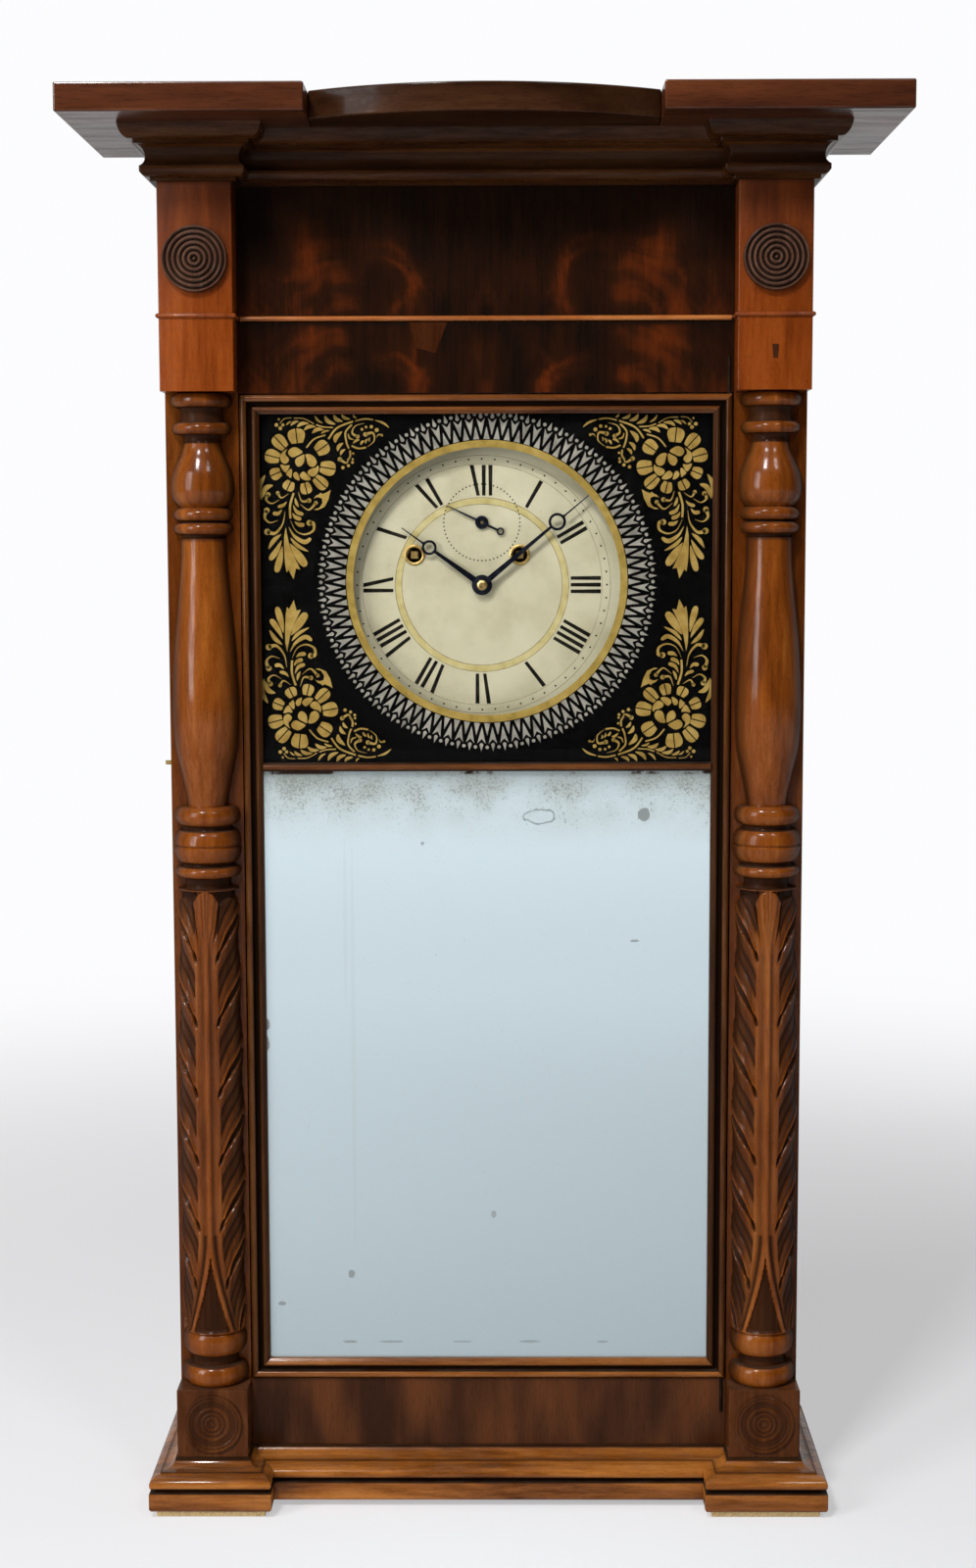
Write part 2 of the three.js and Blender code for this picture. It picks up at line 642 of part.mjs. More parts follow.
// Plinths and base moulding: share of the full projection against height.
const grooveBottom = PAD_HEIGHT + PLINTH_FILLET;
const plinthBeadBottom = grooveBottom + PLINTH_GROOVE;
const plinthCymaBottom = plinthBeadBottom + PLINTH_BEAD;
const plinthTopBottom = plinthCymaBottom + PLINTH_CYMA;
const plinthProfile = new THREE.Path();
plinthProfile.moveTo(0.95, PAD_HEIGHT);
plinthProfile.lineTo(1, PAD_HEIGHT + PLINTH_FILLET / 8);
plinthProfile.lineTo(1, grooveBottom);
plinthProfile.lineTo(0.9, grooveBottom + LEDGE_FALL);
plinthProfile.lineTo(0.9, plinthBeadBottom);
plinthProfile.lineTo(0.97, plinthBeadBottom + LEDGE_FALL);
plinthProfile.quadraticCurveTo(1.02, plinthCymaBottom - PLINTH_BEAD / 3, 0.55, plinthCymaBottom);
plinthProfile.lineTo(0.42, plinthCymaBottom + LEDGE_FALL);
plinthProfile.quadraticCurveTo(0.15, plinthCymaBottom + PLINTH_CYMA / 5, 0.08, plinthTopBottom);
plinthProfile.lineTo(0.08, plinthTop);
const plinthSteps = plinthProfile.getPoints(3);

const plinth = stackedRectangles(plinthSteps.map((step) => ({
  x: [OPENING_HALF - step.x * PLINTH_SIDE_PROUD, caseHalf + step.x * PLINTH_SIDE_PROUD],
  y: [blockFront - step.x * PLINTH_FRONT_PROUD, back],
  z: step.y,
})));
addPair('plinth', plinth, polishedWood);
const baseMoulding = stackedRectangles(plinthSteps.map((step) => {
  const half = OPENING_HALF - step.x * PLINTH_SIDE_PROUD - FIT;
  return { x: [-half, half], y: [stileFront - step.x * BASE_PROUD, stileBack], z: step.y };
}));
addPiece(caseGroup, 'base_moulding', baseMoulding, polishedWood);
const footPad = box(
  [OPENING_HALF - PLINTH_SIDE_PROUD + PAD_INSET, caseHalf + PLINTH_SIDE_PROUD - PAD_INSET],
  [blockFront - PLINTH_FRONT_PROUD + PAD_INSET, back - PAD_INSET],
  [0, PAD_HEIGHT],
);
addPair('foot_pad', footPad, padFelt);

// Door frame section: u runs in from the outer edge, v runs back from the front of the bead.
function framePoints() {
  const section = new THREE.Path();
  const innerBeadEdge = 2 * FRAME_BEAD_RADIUS + FRAME_GROOVE_WIDTH;
  const innerBeadBase = FRAME_INNER_BEAD_SET_BACK + FRAME_INNER_BEAD_RADIUS;
  section.absarc(FRAME_BEAD_RADIUS, FRAME_BEAD_RADIUS, FRAME_BEAD_RADIUS, Math.PI, 2 * Math.PI, false);
  section.lineTo(2 * FRAME_BEAD_RADIUS, FRAME_GROOVE_DEPTH);
  section.lineTo(innerBeadEdge, FRAME_GROOVE_DEPTH);
  section.lineTo(innerBeadEdge, innerBeadBase);
  section.absarc(
    innerBeadEdge + FRAME_INNER_BEAD_RADIUS,
    innerBeadBase,
    FRAME_INNER_BEAD_RADIUS,
    Math.PI,
    2 * Math.PI,
    false,
  );
  section.lineTo(FRAME_WIDTH, FRAME_LIP_FRONT);
  section.lineTo(FRAME_WIDTH, FRAME_REBATE_DEPTH);
  section.lineTo(rebateInset, FRAME_REBATE_DEPTH);
  section.lineTo(rebateInset, DOOR_THICK);
  section.lineTo(0, DOOR_THICK);
  return closed2d(section.getPoints(3));
}

// Outline without doubled points.
function closed2d(points) {
  return points.filter((point, step) => point.distanceTo(points.at(step - 1)) > WELD);
}

// Bar of that section with mitred ends, in local (u, v, length) directions.
function mitredBar(length) {
  const section = framePoints();
  const count = section.length;
  const ends = [
    ...section.map((point) => [point.x, point.y, point.x + FIT / 2]),
    ...section.map((point) => [point.x, point.y, length - point.x - FIT / 2]),
  ];
  const index = [];
  section.forEach((point, step) => {
    const next = (step + 1) % count;
    index.push(step, next, next + count, step, next + count, step + count);
  });
  THREE.ShapeUtils.triangulateShape(section, []).forEach(([a, b, c]) => {
    index.push(a, c, b, a + count, b + count, c + count);
  });
  const bar = new THREE.BufferGeometry();
  bar.setAttribute('position', new THREE.Float32BufferAttribute(ends.flat(), 3));
  bar.setIndex(index);
  return bar;
}

// Bar turned so that its u and length run along the given directions, from the given corner.
function frameBar(length, inward, along, corner) {
  const turn = new THREE.Matrix4().makeBasis(inward, new THREE.Vector3(0, 1, 0), along);
  return mitredBar(length).applyMatrix4(turn).translate(corner.x, doorFront, corner.y);
}

const rightward = new THREE.Vector3(1, 0, 0);
const leftward = new THREE.Vector3(-1, 0, 0);
const upward = new THREE.Vector3(0, 0, 1);
const downward = new THREE.Vector3(0, 0, -1);
const doorHeight = doorTop - doorBottom;
const bottomLeft = new THREE.Vector2(-doorHalf, doorBottom);
const bottomRight = new THREE.Vector2(doorHalf, doorBottom);
const topLeft = new THREE.Vector2(-doorHalf, doorTop);
const upperPinBore = rodUp(hinge, HINGE_PIN_RADIUS + RUNNING_GAP, [upperPinHeights[0] - FIT, upperPinHeights[1]]);
const lowerPinBore = rodUp(hinge, HINGE_PIN_RADIUS + RUNNING_GAP, [lowerPinHeights[0], lowerPinHeights[1] + FIT]);
const catchSocket = rodAcross(
  new THREE.Vector2(catchMiddle, catchHeight),
  CATCH_RADIUS + 2 * RUNNING_GAP,
  [-doorHalf - DOOR_GAP, -doorHalf + CATCH_SOCKET_DEPTH],
);
const doorLeftStile = frameBar(doorHeight, rightward, upward, bottomLeft);
addPiece(doorGroup, 'door_left_stile', cut(doorLeftStile, catchSocket), polishedWood);
const doorRightStile = frameBar(doorHeight, leftward, upward, bottomRight);
addPiece(doorGroup, 'door_right_stile', cut(doorRightStile, upperPinBore, lowerPinBore), polishedWood);
const doorTopRail = frameBar(2 * doorHalf, downward, rightward, topLeft);
addPiece(doorGroup, 'door_top_rail', cut(doorTopRail, upperPinBore), polishedWood);
const doorBottomRail = frameBar(2 * doorHalf, upward, rightward, bottomLeft);
addPiece(doorGroup, 'door_bottom_rail', cut(doorBottomRail, lowerPinBore), polishedWood);

// Mid rail: a half-round bead over the meeting edges of the two glasses, with a web between them.
const midRailHalf = MID_RAIL_HEIGHT / 2;
const midRailBack = doorFront + FRAME_REBATE_DEPTH;
const midRailFront = doorFront + MID_RAIL_SET_BACK;
const midRailSection = new THREE.Shape();
midRailSection.moveTo(midRailBack, midRailMiddle - midRailHalf);
midRailSection.lineTo(midRailBack, midRailMiddle - MID_RAIL_WEB / 2);
midRailSection.lineTo(midRailBack + MID_RAIL_WEB_DEPTH, midRailMiddle - MID_RAIL_WEB / 2);
midRailSection.lineTo(midRailBack + MID_RAIL_WEB_DEPTH, midRailMiddle + MID_RAIL_WEB / 2);
midRailSection.lineTo(midRailBack, midRailMiddle + MID_RAIL_WEB / 2);
midRailSection.lineTo(midRailBack, midRailMiddle + midRailHalf);
midRailSection.absellipse(
  midRailBack,
  midRailMiddle,
  midRailBack - midRailFront,
  midRailHalf,
  Math.PI / 2,
  1.5 * Math.PI,
  false,
  0,
);
const midRailLength = 2 * (sightHalf - FIT);
const midRail = new THREE.ExtrudeGeometry(midRailSection, {
  depth: midRailLength,
  bevelEnabled: false,
  curveSegments: 8,
});
const acrossX = new THREE.Matrix4().makeBasis(new THREE.Vector3(0, 1, 0), upward, rightward);
midRail.applyMatrix4(acrossX).translate(-midRailLength / 2, 0, 0);
addPiece(doorGroup, 'door_mid_rail', midRail, polishedWood);

// Glasses, in the rebate behind the frame.
const glassHalf = doorHalf - rebateInset - RUNNING_GAP;
const tabletHeights = [midRailMiddle + MID_RAIL_WEB / 2 + RUNNING_GAP, doorTop - rebateInset - RUNNING_GAP];
const mirrorHeights = [doorBottom + rebateInset + RUNNING_GAP, midRailMiddle - MID_RAIL_WEB / 2 - RUNNING_GAP];
const tablet = box([-glassHalf, glassHalf], [glassFront, glassFront + TABLET_THICK], tabletHeights);
addPiece(doorGroup, 'tablet_glass', tablet, blackGlass);
const mirror = box([-glassHalf, glassHalf], [glassFront, glassFront + MIRROR_THICK], mirrorHeights);
addPiece(doorGroup, 'mirror_glass', mirror, mirrorSilver);

// Wire hinge pins, driven through the frieze board and the bottom rail into the door.
const upperHingePin = rodUp(hinge, HINGE_PIN_RADIUS, [upperPinHeights[0], upperPinHeights[1] - FIT]);
addPiece(doorGroup, 'upper_hinge_pin', upperHingePin, wireIron);
const lowerHingePin = rodUp(hinge, HINGE_PIN_RADIUS, [lowerPinHeights[0] + FIT, lowerPinHeights[1]]);
addPiece(doorGroup, 'lower_hinge_pin', lowerHingePin, wireIron);

// Sliding catch pin through the left stile. Pushed in, its tip enters the socket in the door's edge.
const catchPin = rodAcross(
  new THREE.Vector2(catchMiddle, catchHeight),
  CATCH_RADIUS,
  [-caseHalf - CATCH_REACH, -OPENING_HALF],
);
addPiece(doorGroup, 'door_catch_pin', catchPin, brass);

// Dial plate, lapped on the backs of the stiles and the frieze board, with holes for the arbors.
const dialHalf = OPENING_HALF + DIAL_LAP;
const dialOutline = new THREE.Shape();
dialOutline.moveTo(-dialHalf - HAND_CENTRE_X, midRailMiddle - DIAL_LAP - handCentreZ);
dialOutline.lineTo(dialHalf - HAND_CENTRE_X, midRailMiddle - DIAL_LAP - handCentreZ);
dialOutline.lineTo(dialHalf - HAND_CENTRE_X, columnTop + DIAL_LAP - handCentreZ);
dialOutline.lineTo(-dialHalf - HAND_CENTRE_X, columnTop + DIAL_LAP - handCentreZ);
dialOutline.closePath();

// Hole that a round rod of the given radius just fits.
function roundHole(at, radius, sides = 12) {
  const corners = [];
  for (let side = 0; side < sides; side += 1) {
    corners.push(polar(radius / Math.cos(Math.PI / sides), (-2 * Math.PI * side) / sides).add(at));
  }
  return new THREE.Path(corners);
}

const handCentre = new THREE.Vector2();
dialOutline.holes = [
  roundHole(handCentre, DIAL_HOLE),
  roundHole(ESCAPE_ARBOR, SECONDS_HOLE),
  roundHole(GOING_ARBOR, WINDING_HOLE),
  roundHole(STRIKE_ARBOR, WINDING_HOLE),
];
addPiece(movementGroup, 'dial_plate', runBack(dialOutline, [dialFront, dialBack]), dialPaint);

// Hands point up here, and are turned to the time shown: about eight minutes past ten.
function ringHand({ length, ringAt, ring, eye, hub, root, waist, tip }, bore, y) {
  const blade = flatBar(new THREE.Vector2(0, 0), new THREE.Vector2(0, ringAt), root, y, waist);
  const point = flatBar(new THREE.Vector2(0, ringAt), new THREE.Vector2(0, length), waist, y, tip);
  const hubDisc = rodBack(handCentre, hub, y, 16);
  const ringDisc = rodBack(new THREE.Vector2(0, ringAt), ring, y);
  const eyeHole = rodBack(new THREE.Vector2(0, ringAt), eye, y);
  return cut(join(cut(join(blade, point, ringDisc), eyeHole), hubDisc), rodBack(handCentre, bore, y));
}

const hourPipeBore = CENTRE_RADIUS + RUNNING_GAP;
const hourPipeRadius = hourPipeBore + HOUR_PIPE_WALL;
const colletY = [minuteHandFront - COLLET_HEIGHT, minuteHandFront];
const collet = cut(rodBack(handCentre, COLLET_RADIUS, colletY, 16), rodBack(handCentre, CENTRE_RADIUS + FIT, colletY));
const minuteBlade = ringHand(MINUTE_HAND, CENTRE_RADIUS + FIT, [minuteHandFront, minuteHandBack]);
const minuteHand = addPiece(movementGroup, 'minute_hand', join(minuteBlade, collet), blueSteel);
minuteHand.rotation.y = THREE.MathUtils.degToRad(MINUTE_ANGLE);
const hourBlade = ringHand(HOUR_HAND, hourPipeRadius + FIT, [hourHandBack - HAND_THICK, hourHandBack]);
const hourHand = addPiece(movementGroup, 'hour_hand', hourBlade, blueSteel);
hourHand.rotation.y = THREE.MathUtils.degToRad(HOUR_ANGLE);

const secondsY = [secondsHandBack - SECONDS_HAND_THICK, secondsHandBack];
const secondsTail = new THREE.Vector2(0, -SECONDS_HAND.tail);
const secondsBlade = join(
  flatBar(secondsTail, new THREE.Vector2(0, SECONDS_HAND.length), SECONDS_HAND.root, secondsY, SECONDS_HAND.tip),
  rodBack(handCentre, SECONDS_HAND.hub, secondsY),
  rodBack(secondsTail, SECONDS_HAND.ring, secondsY, 8),
);
const secondsHoles = [
  rodBack(secondsTail, SECONDS_HAND.eye, secondsY, 8),
  rodBack(handCentre, PIVOT_RADIUS + FIT, secondsY),
];
const secondsHand = addPiece(movementGroup, 'seconds_hand', cut(secondsBlade, ...secondsHoles), blueSteel);
secondsHand.position.set(ESCAPE_ARBOR.x, 0, ESCAPE_ARBOR.y);
secondsHand.rotation.y = THREE.MathUtils.degToRad(SECONDS_ANGLE);

// Toothed outline about (0, 0), with pointed teeth. A tooth stands at the angle firstTooth.
function toothedOutline(teeth, module, addendum, dedendum, firstTooth) {
  const pitchRadius = (teeth * module) / 2;
  const outline = [];
  for (let corner = 0; corner < 2 * teeth; corner += 1) {
    const rise = corner % 2 === 0 ? addendum : -dedendum;
    outline.push(polar(pitchRadius + rise * module, firstTooth + (Math.PI * corner) / teeth));
  }
  return outline;
}

// Windows between the spokes of a wheel.
function spokeWindows(outer, inner) {
  const windows = [];
  for (let spoke = 0; spoke < SPOKES; spoke += 1) {
    const start = (2 * Math.PI * spoke) / SPOKES;
    const end = start + (2 * Math.PI) / SPOKES;
    const outerHalf = Math.asin(SPOKE_WIDTH / 2 / outer);
    const innerHalf = Math.asin(SPOKE_WIDTH / 2 / inner);
    const pane = new THREE.Path();
    pane.absarc(0, 0, outer, start + outerHalf, end - outerHalf, false);
    pane.absarc(0, 0, inner, end - innerHalf, start + innerHalf, true);
    pane.closePath();
    windows.push(pane);
  }
  return windows;
}

// Wheel at (x, z) whose tooth or gap faces a neighbour.
function facing(from, to) {
  return to.clone().sub(from).angle();
}

function wheel(at, y, teeth, module, mate, holes) {
  const shape = new THREE.Shape(toothedOutline(teeth, module, WHEEL_ADDENDUM, WHEEL_DEDENDUM, facing(at, mate)));
  shape.holes = holes;
  return runBack(shape, y, 2).translate(at.x, 0, at.y);
}

function crossedWheel(at, y, teeth, module, mate, holes = []) {
  const windows = spokeWindows((teeth * module) / 2 - WHEEL_RIM, WHEEL_HUB);
  return wheel(at, y, teeth, module, mate, [...windows, ...holes]);
}

function pinion(at, y, leaves, module, mate, holes = []) {
  const gap = facing(at, mate) + Math.PI / leaves;
  const shape = new THREE.Shape(toothedOutline(leaves, module, PINION_ADDENDUM, PINION_DEDENDUM, gap));
  shape.holes = holes;
  return runBack(shape, y).translate(at.x, 0, at.y);
}

function moduleFor(distance, teeth, leaves) {
  return (2 * distance) / (teeth + leaves);
}

function depths(from, thick) {
  return [frontPlateBack + from, frontPlateBack + from + thick];
}

function widened([start, end], margin) {
  return [start - margin, end + margin];
}

// Arbor that runs in both plates, with its pivots standing a little way out of them.
const pivotOut = PLATE_THICK / 2;

function plateArbor(at, front = frontPlateFront - pivotOut, rear = backPlateBack + pivotOut) {
  return steppedRod(at, front, [
    [frontPlateBack + RUNNING_GAP, PIVOT_RADIUS],
    [backPlateFront - RUNNING_GAP, ARBOR_RADIUS],
    [rear, PIVOT_RADIUS],
  ]);
}

const goingModule = moduleFor(GOING_ARBOR.length(), GREAT_TEETH, PINION_LEAVES);
const centreModule = moduleFor(THIRD_ARBOR.length(), CENTRE_TEETH, PINION_LEAVES);
const thirdModule = moduleFor(THIRD_ARBOR.distanceTo(ESCAPE_ARBOR), THIRD_TEETH, PINION_LEAVES);
const motionModule = moduleFor(MOTION_DISTANCE, MINUTE_WHEEL_TEETH, CANNON_LEAVES);
const hourModule = moduleFor(MOTION_DISTANCE, HOUR_WHEEL_TEETH, MINUTE_PINION_LEAVES);

const drumY = depths(DRUM_DEPTH, DRUM_LENGTH);
const greatY = depths(DRUM_DEPTH + DRUM_LENGTH + RUNNING_GAP, GREAT_WHEEL_THICK);
const centreY = depths(CENTRE_WHEEL_DEPTH, WHEEL_THICK);
const thirdY = depths(THIRD_WHEEL_DEPTH, WHEEL_THICK);
const escapeY = depths(ESCAPE_WHEEL_DEPTH, WHEEL_THICK);
const pinWheelY = depths(PIN_WHEEL_DEPTH, WHEEL_THICK);
const liftY = [pinWheelY[1], pinWheelY[1] + LIFTING_PIN_LENGTH];

// Winding drums with a squared end behind each winding hole, and the great wheels loose on their arbors.
function windingDrum(at) {
  const flange = DRUM_RADIUS + DRUM_FLANGE;
  const square = new THREE.CylinderGeometry(WINDING_SQUARE / Math.SQRT2, WINDING_SQUARE / Math.SQRT2, 1, 4, 1)
    .rotateY(Math.PI / 4)
    .scale(1, frontPlateFront - PLATE_THICK - dialFront, 1)
    .translate(at.x, (frontPlateFront - PLATE_THICK + dialFront) / 2, at.y);
  const body = steppedRod(at, dialBack + PLATE_THICK, [
    [drumY[0], WINDING_RADIUS],
    [drumY[0] + DRUM_FLANGE_THICK, flange],
    [drumY[1] - DRUM_FLANGE_THICK, DRUM_RADIUS],
    [drumY[1], flange],
    [backPlateBack + pivotOut, WINDING_RADIUS],
  ], 16);
  return join(body, square);
}

function greatWheel(at, mate) {
  const bore = roundHole(handCentre, WINDING_RADIUS + RUNNING_GAP);
  return crossedWheel(at, greatY, GREAT_TEETH, goingModule, mate, [bore]);
}

const pinWheelDistance = (goingModule * (GREAT_TEETH + PINION_LEAVES)) / 2;
const pinWheelTurn = THREE.MathUtils.degToRad(PIN_WHEEL_TURN);
const pinWheelArbor = polar(pinWheelDistance, pinWheelTurn).add(STRIKE_ARBOR);
addPiece(movementGroup, 'going_drum', windingDrum(GOING_ARBOR), brass);
addPiece(movementGroup, 'going_great_wheel', greatWheel(GOING_ARBOR, handCentre), brass);
addPiece(movementGroup, 'strike_drum', windingDrum(STRIKE_ARBOR), brass);
addPiece(movementGroup, 'strike_great_wheel', greatWheel(STRIKE_ARBOR, pinWheelArbor), brass);

// Centre arbor with its pinion and wheel between the plates, and the cannon pinion in front.
const cannonY = [frontPlateFront - RUNNING_GAP - 2 * MOTION_WHEEL_THICK, frontPlateFront - RUNNING_GAP];
const minuteArbor = new THREE.Vector2(0, -MOTION_DISTANCE);
const centreRod = steppedRod(handCentre, colletY[0], [
  [frontPlateBack + RUNNING_GAP, CENTRE_RADIUS],
  [backPlateFront - RUNNING_GAP, CENTRE_RADIUS + RUNNING_GAP],
  [backPlateBack + pivotOut, CENTRE_RADIUS],
], 12);
const centreArbor = join(
  centreRod,
  pinion(handCentre, widened(greatY, PINION_MARGIN), PINION_LEAVES, goingModule, GOING_ARBOR),
  crossedWheel(handCentre, centreY, CENTRE_TEETH, centreModule, THIRD_ARBOR),
  pinion(handCentre, cannonY, CANNON_LEAVES, motionModule, minuteArbor),
);
addPiece(movementGroup, 'centre_arbor', centreArbor, brass);

// Third and escape arbors.
const thirdArbor = join(
  plateArbor(THIRD_ARBOR),
  pinion(THIRD_ARBOR, widened(centreY, PINION_MARGIN), PINION_LEAVES, centreModule, handCentre),
  crossedWheel(THIRD_ARBOR, thirdY, THIRD_TEETH, thirdModule, ESCAPE_ARBOR),
);
addPiece(movementGroup, 'third_arbor', thirdArbor, brass);

function escapeWheel() {
  const outline = [];
  for (let tooth = 0; tooth < ESCAPE_TEETH; tooth += 1) {
    const start = (2 * Math.PI * tooth) / ESCAPE_TEETH;
    const lean = (0.7 * 2 * Math.PI) / ESCAPE_TEETH;
    outline.push(polar(ESCAPE_RADIUS - ESCAPE_TOOTH_DEPTH, start), polar(ESCAPE_RADIUS, start + lean));
  }
  const shape = new THREE.Shape(outline);
  shape.holes = spokeWindows(ESCAPE_RADIUS - ESCAPE_TOOTH_DEPTH - WHEEL_RIM / 2, WHEEL_HUB);
  return runBack(shape, escapeY, 2).translate(ESCAPE_ARBOR.x, 0, ESCAPE_ARBOR.y);
}

const escapeArbor = join(
  plateArbor(ESCAPE_ARBOR, secondsY[0]),
  pinion(ESCAPE_ARBOR, widened(thirdY, PINION_MARGIN), PINION_LEAVES, thirdModule, THIRD_ARBOR),
  escapeWheel(),
);
addPiece(movementGroup, 'escape_arbor', escapeArbor, brass);

// Motion work: minute wheel on its stud, hour wheel on its pipe.
const minuteWheelY = [cannonY[0] + PINION_MARGIN, cannonY[0] + PINION_MARGIN + MOTION_WHEEL_THICK];
const hourWheelY = [cannonY[0] - RUNNING_GAP - 2 * MOTION_WHEEL_THICK, cannonY[0] - RUNNING_GAP - MOTION_WHEEL_THICK];
const minutePinionY = [hourWheelY[0] - PINION_MARGIN, minuteWheelY[0]];
const minuteBore = [roundHole(handCentre, MINUTE_STUD_RADIUS + PIVOT_PLAY)];
const minutePinion = pinion(minuteArbor, minutePinionY, MINUTE_PINION_LEAVES, hourModule, handCentre, minuteBore);
const minuteDisc = wheel(minuteArbor, minuteWheelY, MINUTE_WHEEL_TEETH, motionModule, handCentre, minuteBore);
addPiece(movementGroup, 'minute_wheel', join(minuteDisc, minutePinion), brass);
const hourPipe = cut(
  rodBack(handCentre, hourPipeRadius, [hourHandBack - HAND_THICK, hourWheelY[1]], 12),
  rodBack(handCentre, hourPipeBore, [hourHandBack - HAND_THICK, hourWheelY[1]], 12),
);
const hourBore = [roundHole(handCentre, hourPipeBore + HOUR_PIPE_WALL / 2)];
const hourDisc = wheel(handCentre, hourWheelY, HOUR_WHEEL_TEETH, hourModule, minuteArbor, hourBore);
addPiece(movementGroup, 'hour_wheel', join(hourDisc, hourPipe), brass);

// Pin wheel of the striking train.
const pinWheelDisc = new THREE.Shape().absarc(0, 0, PIN_WHEEL_RADIUS, 0, 2 * Math.PI, false);
pinWheelDisc.holes = spokeWindows(PIN_WHEEL_RADIUS - 2 * WHEEL_RIM, WHEEL_HUB);
const liftingPins = [];
for (let pin = 0; pin < LIFTING_PINS; pin += 1) {
  const turn = (2 * Math.PI * pin) / LIFTING_PINS;
  const at = polar(PIN_WHEEL_RADIUS - WHEEL_RIM, turn).add(pinWheelArbor);
  liftingPins.push(rodBack(at, LIFTING_PIN_RADIUS, [pinWheelY[0], liftY[1]], 6));
}
const pinWheel = join(
  plateArbor(pinWheelArbor),
  pinion(pinWheelArbor, widened(greatY, PINION_MARGIN), PINION_LEAVES, goingModule, STRIKE_ARBOR),
  runBack(pinWheelDisc, pinWheelY, 6).translate(pinWheelArbor.x, 0, pinWheelArbor.y),
  ...liftingPins,
);
addPiece(movementGroup, 'strike_pin_wheel', pinWheel, brass);

// Anchor over the escape wheel, with the crutch behind the back plate.
// Its pallets stay just outside the teeth through the whole swing.
const palletReach = ANCHOR_RISE * Math.sin(THREE.MathUtils.degToRad(PALLET_SPREAD));
const palletSwing = palletReach * Math.tan(THREE.MathUtils.degToRad(ANCHOR_SWING));
const palletRadius = ESCAPE_RADIUS + palletSwing + RUNNING_GAP + ANCHOR_STRIP / 2;
const crutchY = [backPlateBack + CRUTCH_GAP, backPlateBack + CRUTCH_GAP + CRUTCH_THICK];
const pendulumY = backPlateBack + COCK_OUT + COCK_DEPTH / 2;
const crutchFoot = new THREE.Vector2(anchorArbor.x, anchorArbor.y - CRUTCH_LENGTH);
const palletArms = [-1, 1].map((side) => {
  const turn = THREE.MathUtils.degToRad(90 - side * PALLET_SPREAD);
  const tip = polar(palletRadius, turn).add(ESCAPE_ARBOR);
  return flatBar(anchorArbor, tip, ANCHOR_STRIP, escapeY);
});
const forkReach = PENDULUM_ROD_RADIUS + 2 * RUNNING_GAP + CRUTCH_PIN_RADIUS;
const forkPins = [-1, 1].map((side) => {
  const at = new THREE.Vector2(crutchFoot.x + side * forkReach, crutchFoot.y);
  return rodBack(at, CRUTCH_PIN_RADIUS, [crutchY[0], pendulumY + 2 * PENDULUM_ROD_RADIUS], 8);
});
const crutchHead = new THREE.Vector2(anchorArbor.x, anchorArbor.y + CRUTCH_WIDTH / 2);
const crutchEnd = new THREE.Vector2(crutchFoot.x, crutchFoot.y - CRUTCH_WIDTH / 2);
const crutchBar = flatBar(crutchHead, crutchEnd, CRUTCH_WIDTH, crutchY, 2 * (forkReach + CRUTCH_PIN_RADIUS));
const anchorRod = plateArbor(anchorArbor, frontPlateFront - pivotOut, crutchY[1]);
addPiece(movementGroup, 'anchor', join(anchorRod, ...palletArms, crutchBar, ...forkPins), wireIron);

// Pendulum, hung on a cross pin in the grooved cock behind the back plate.
const pendulumPinY = widened([pendulumY, pendulumY], COCK_DEPTH / 2 - RUNNING_GAP);
const bobCentre = anchorArbor.y - PENDULUM_LENGTH;
const nutBottom = bobCentre - BOB_RADIUS - RATING_NUT_DROP;
const bobProfile = new THREE.EllipseCurve(0, 0, BOB_RADIUS, BOB_THICK / 2, -Math.PI / 2, Math.PI / 2)
  .getPoints(6)
  .map((point) => new THREE.Vector2(Math.abs(point.x) < WELD ? 0 : point.x, point.y));
const rodLine = new THREE.Vector2(anchorArbor.x, pendulumY);
const pendulum = join(
  rodUp(rodLine, PENDULUM_ROD_RADIUS, [nutBottom - RATING_NUT_DROP, anchorArbor.y], 8),
  rodBack(anchorArbor, PENDULUM_PIN_RADIUS, pendulumPinY),
  new THREE.LatheGeometry(bobProfile, 20).translate(anchorArbor.x, pendulumY, bobCentre),
  rodUp(rodLine, RATING_NUT_RADIUS, [nutBottom, nutBottom + RATING_NUT_DROP / 2], 12),
);
addPiece(movementGroup, 'pendulum', pendulum, brass);

// Bell on a stem from the back board.
const bellMouth = backPlateFront - BELL_MOUTH_FORWARD;
const bellOuter = new THREE.EllipseCurve(0, 0, BELL_RADIUS, BELL_DEPTH, 0, Math.PI / 2).getPoints(5);
const bellInner = new THREE.EllipseCurve(0, 0, BELL_RADIUS - BELL_WALL, BELL_DEPTH - BELL_WALL, 0, Math.PI / 2)
  .getPoints(5)
  .reverse();
const bellStem = [
  new THREE.Vector2(BELL_STEM_RADIUS, BELL_DEPTH - BELL_WALL / 2),
  new THREE.Vector2(BELL_STEM_RADIUS, backBoardFront - SEAT_GAP - bellMouth),
  new THREE.Vector2(0, backBoardFront - SEAT_GAP - bellMouth),
];
const bellSkin = bellOuter.filter((point) => point.x > BELL_STEM_RADIUS);
const bellHollow = bellInner.map((point, step) => (step === 0 ? new THREE.Vector2(0, point.y) : point));
const bellProfile = [...bellHollow, ...bellSkin, ...bellStem];
const bell = new THREE.LatheGeometry(bellProfile, 18).translate(BELL.x, bellMouth, BELL.y);
addPiece(movementGroup, 'bell', bell, brass);

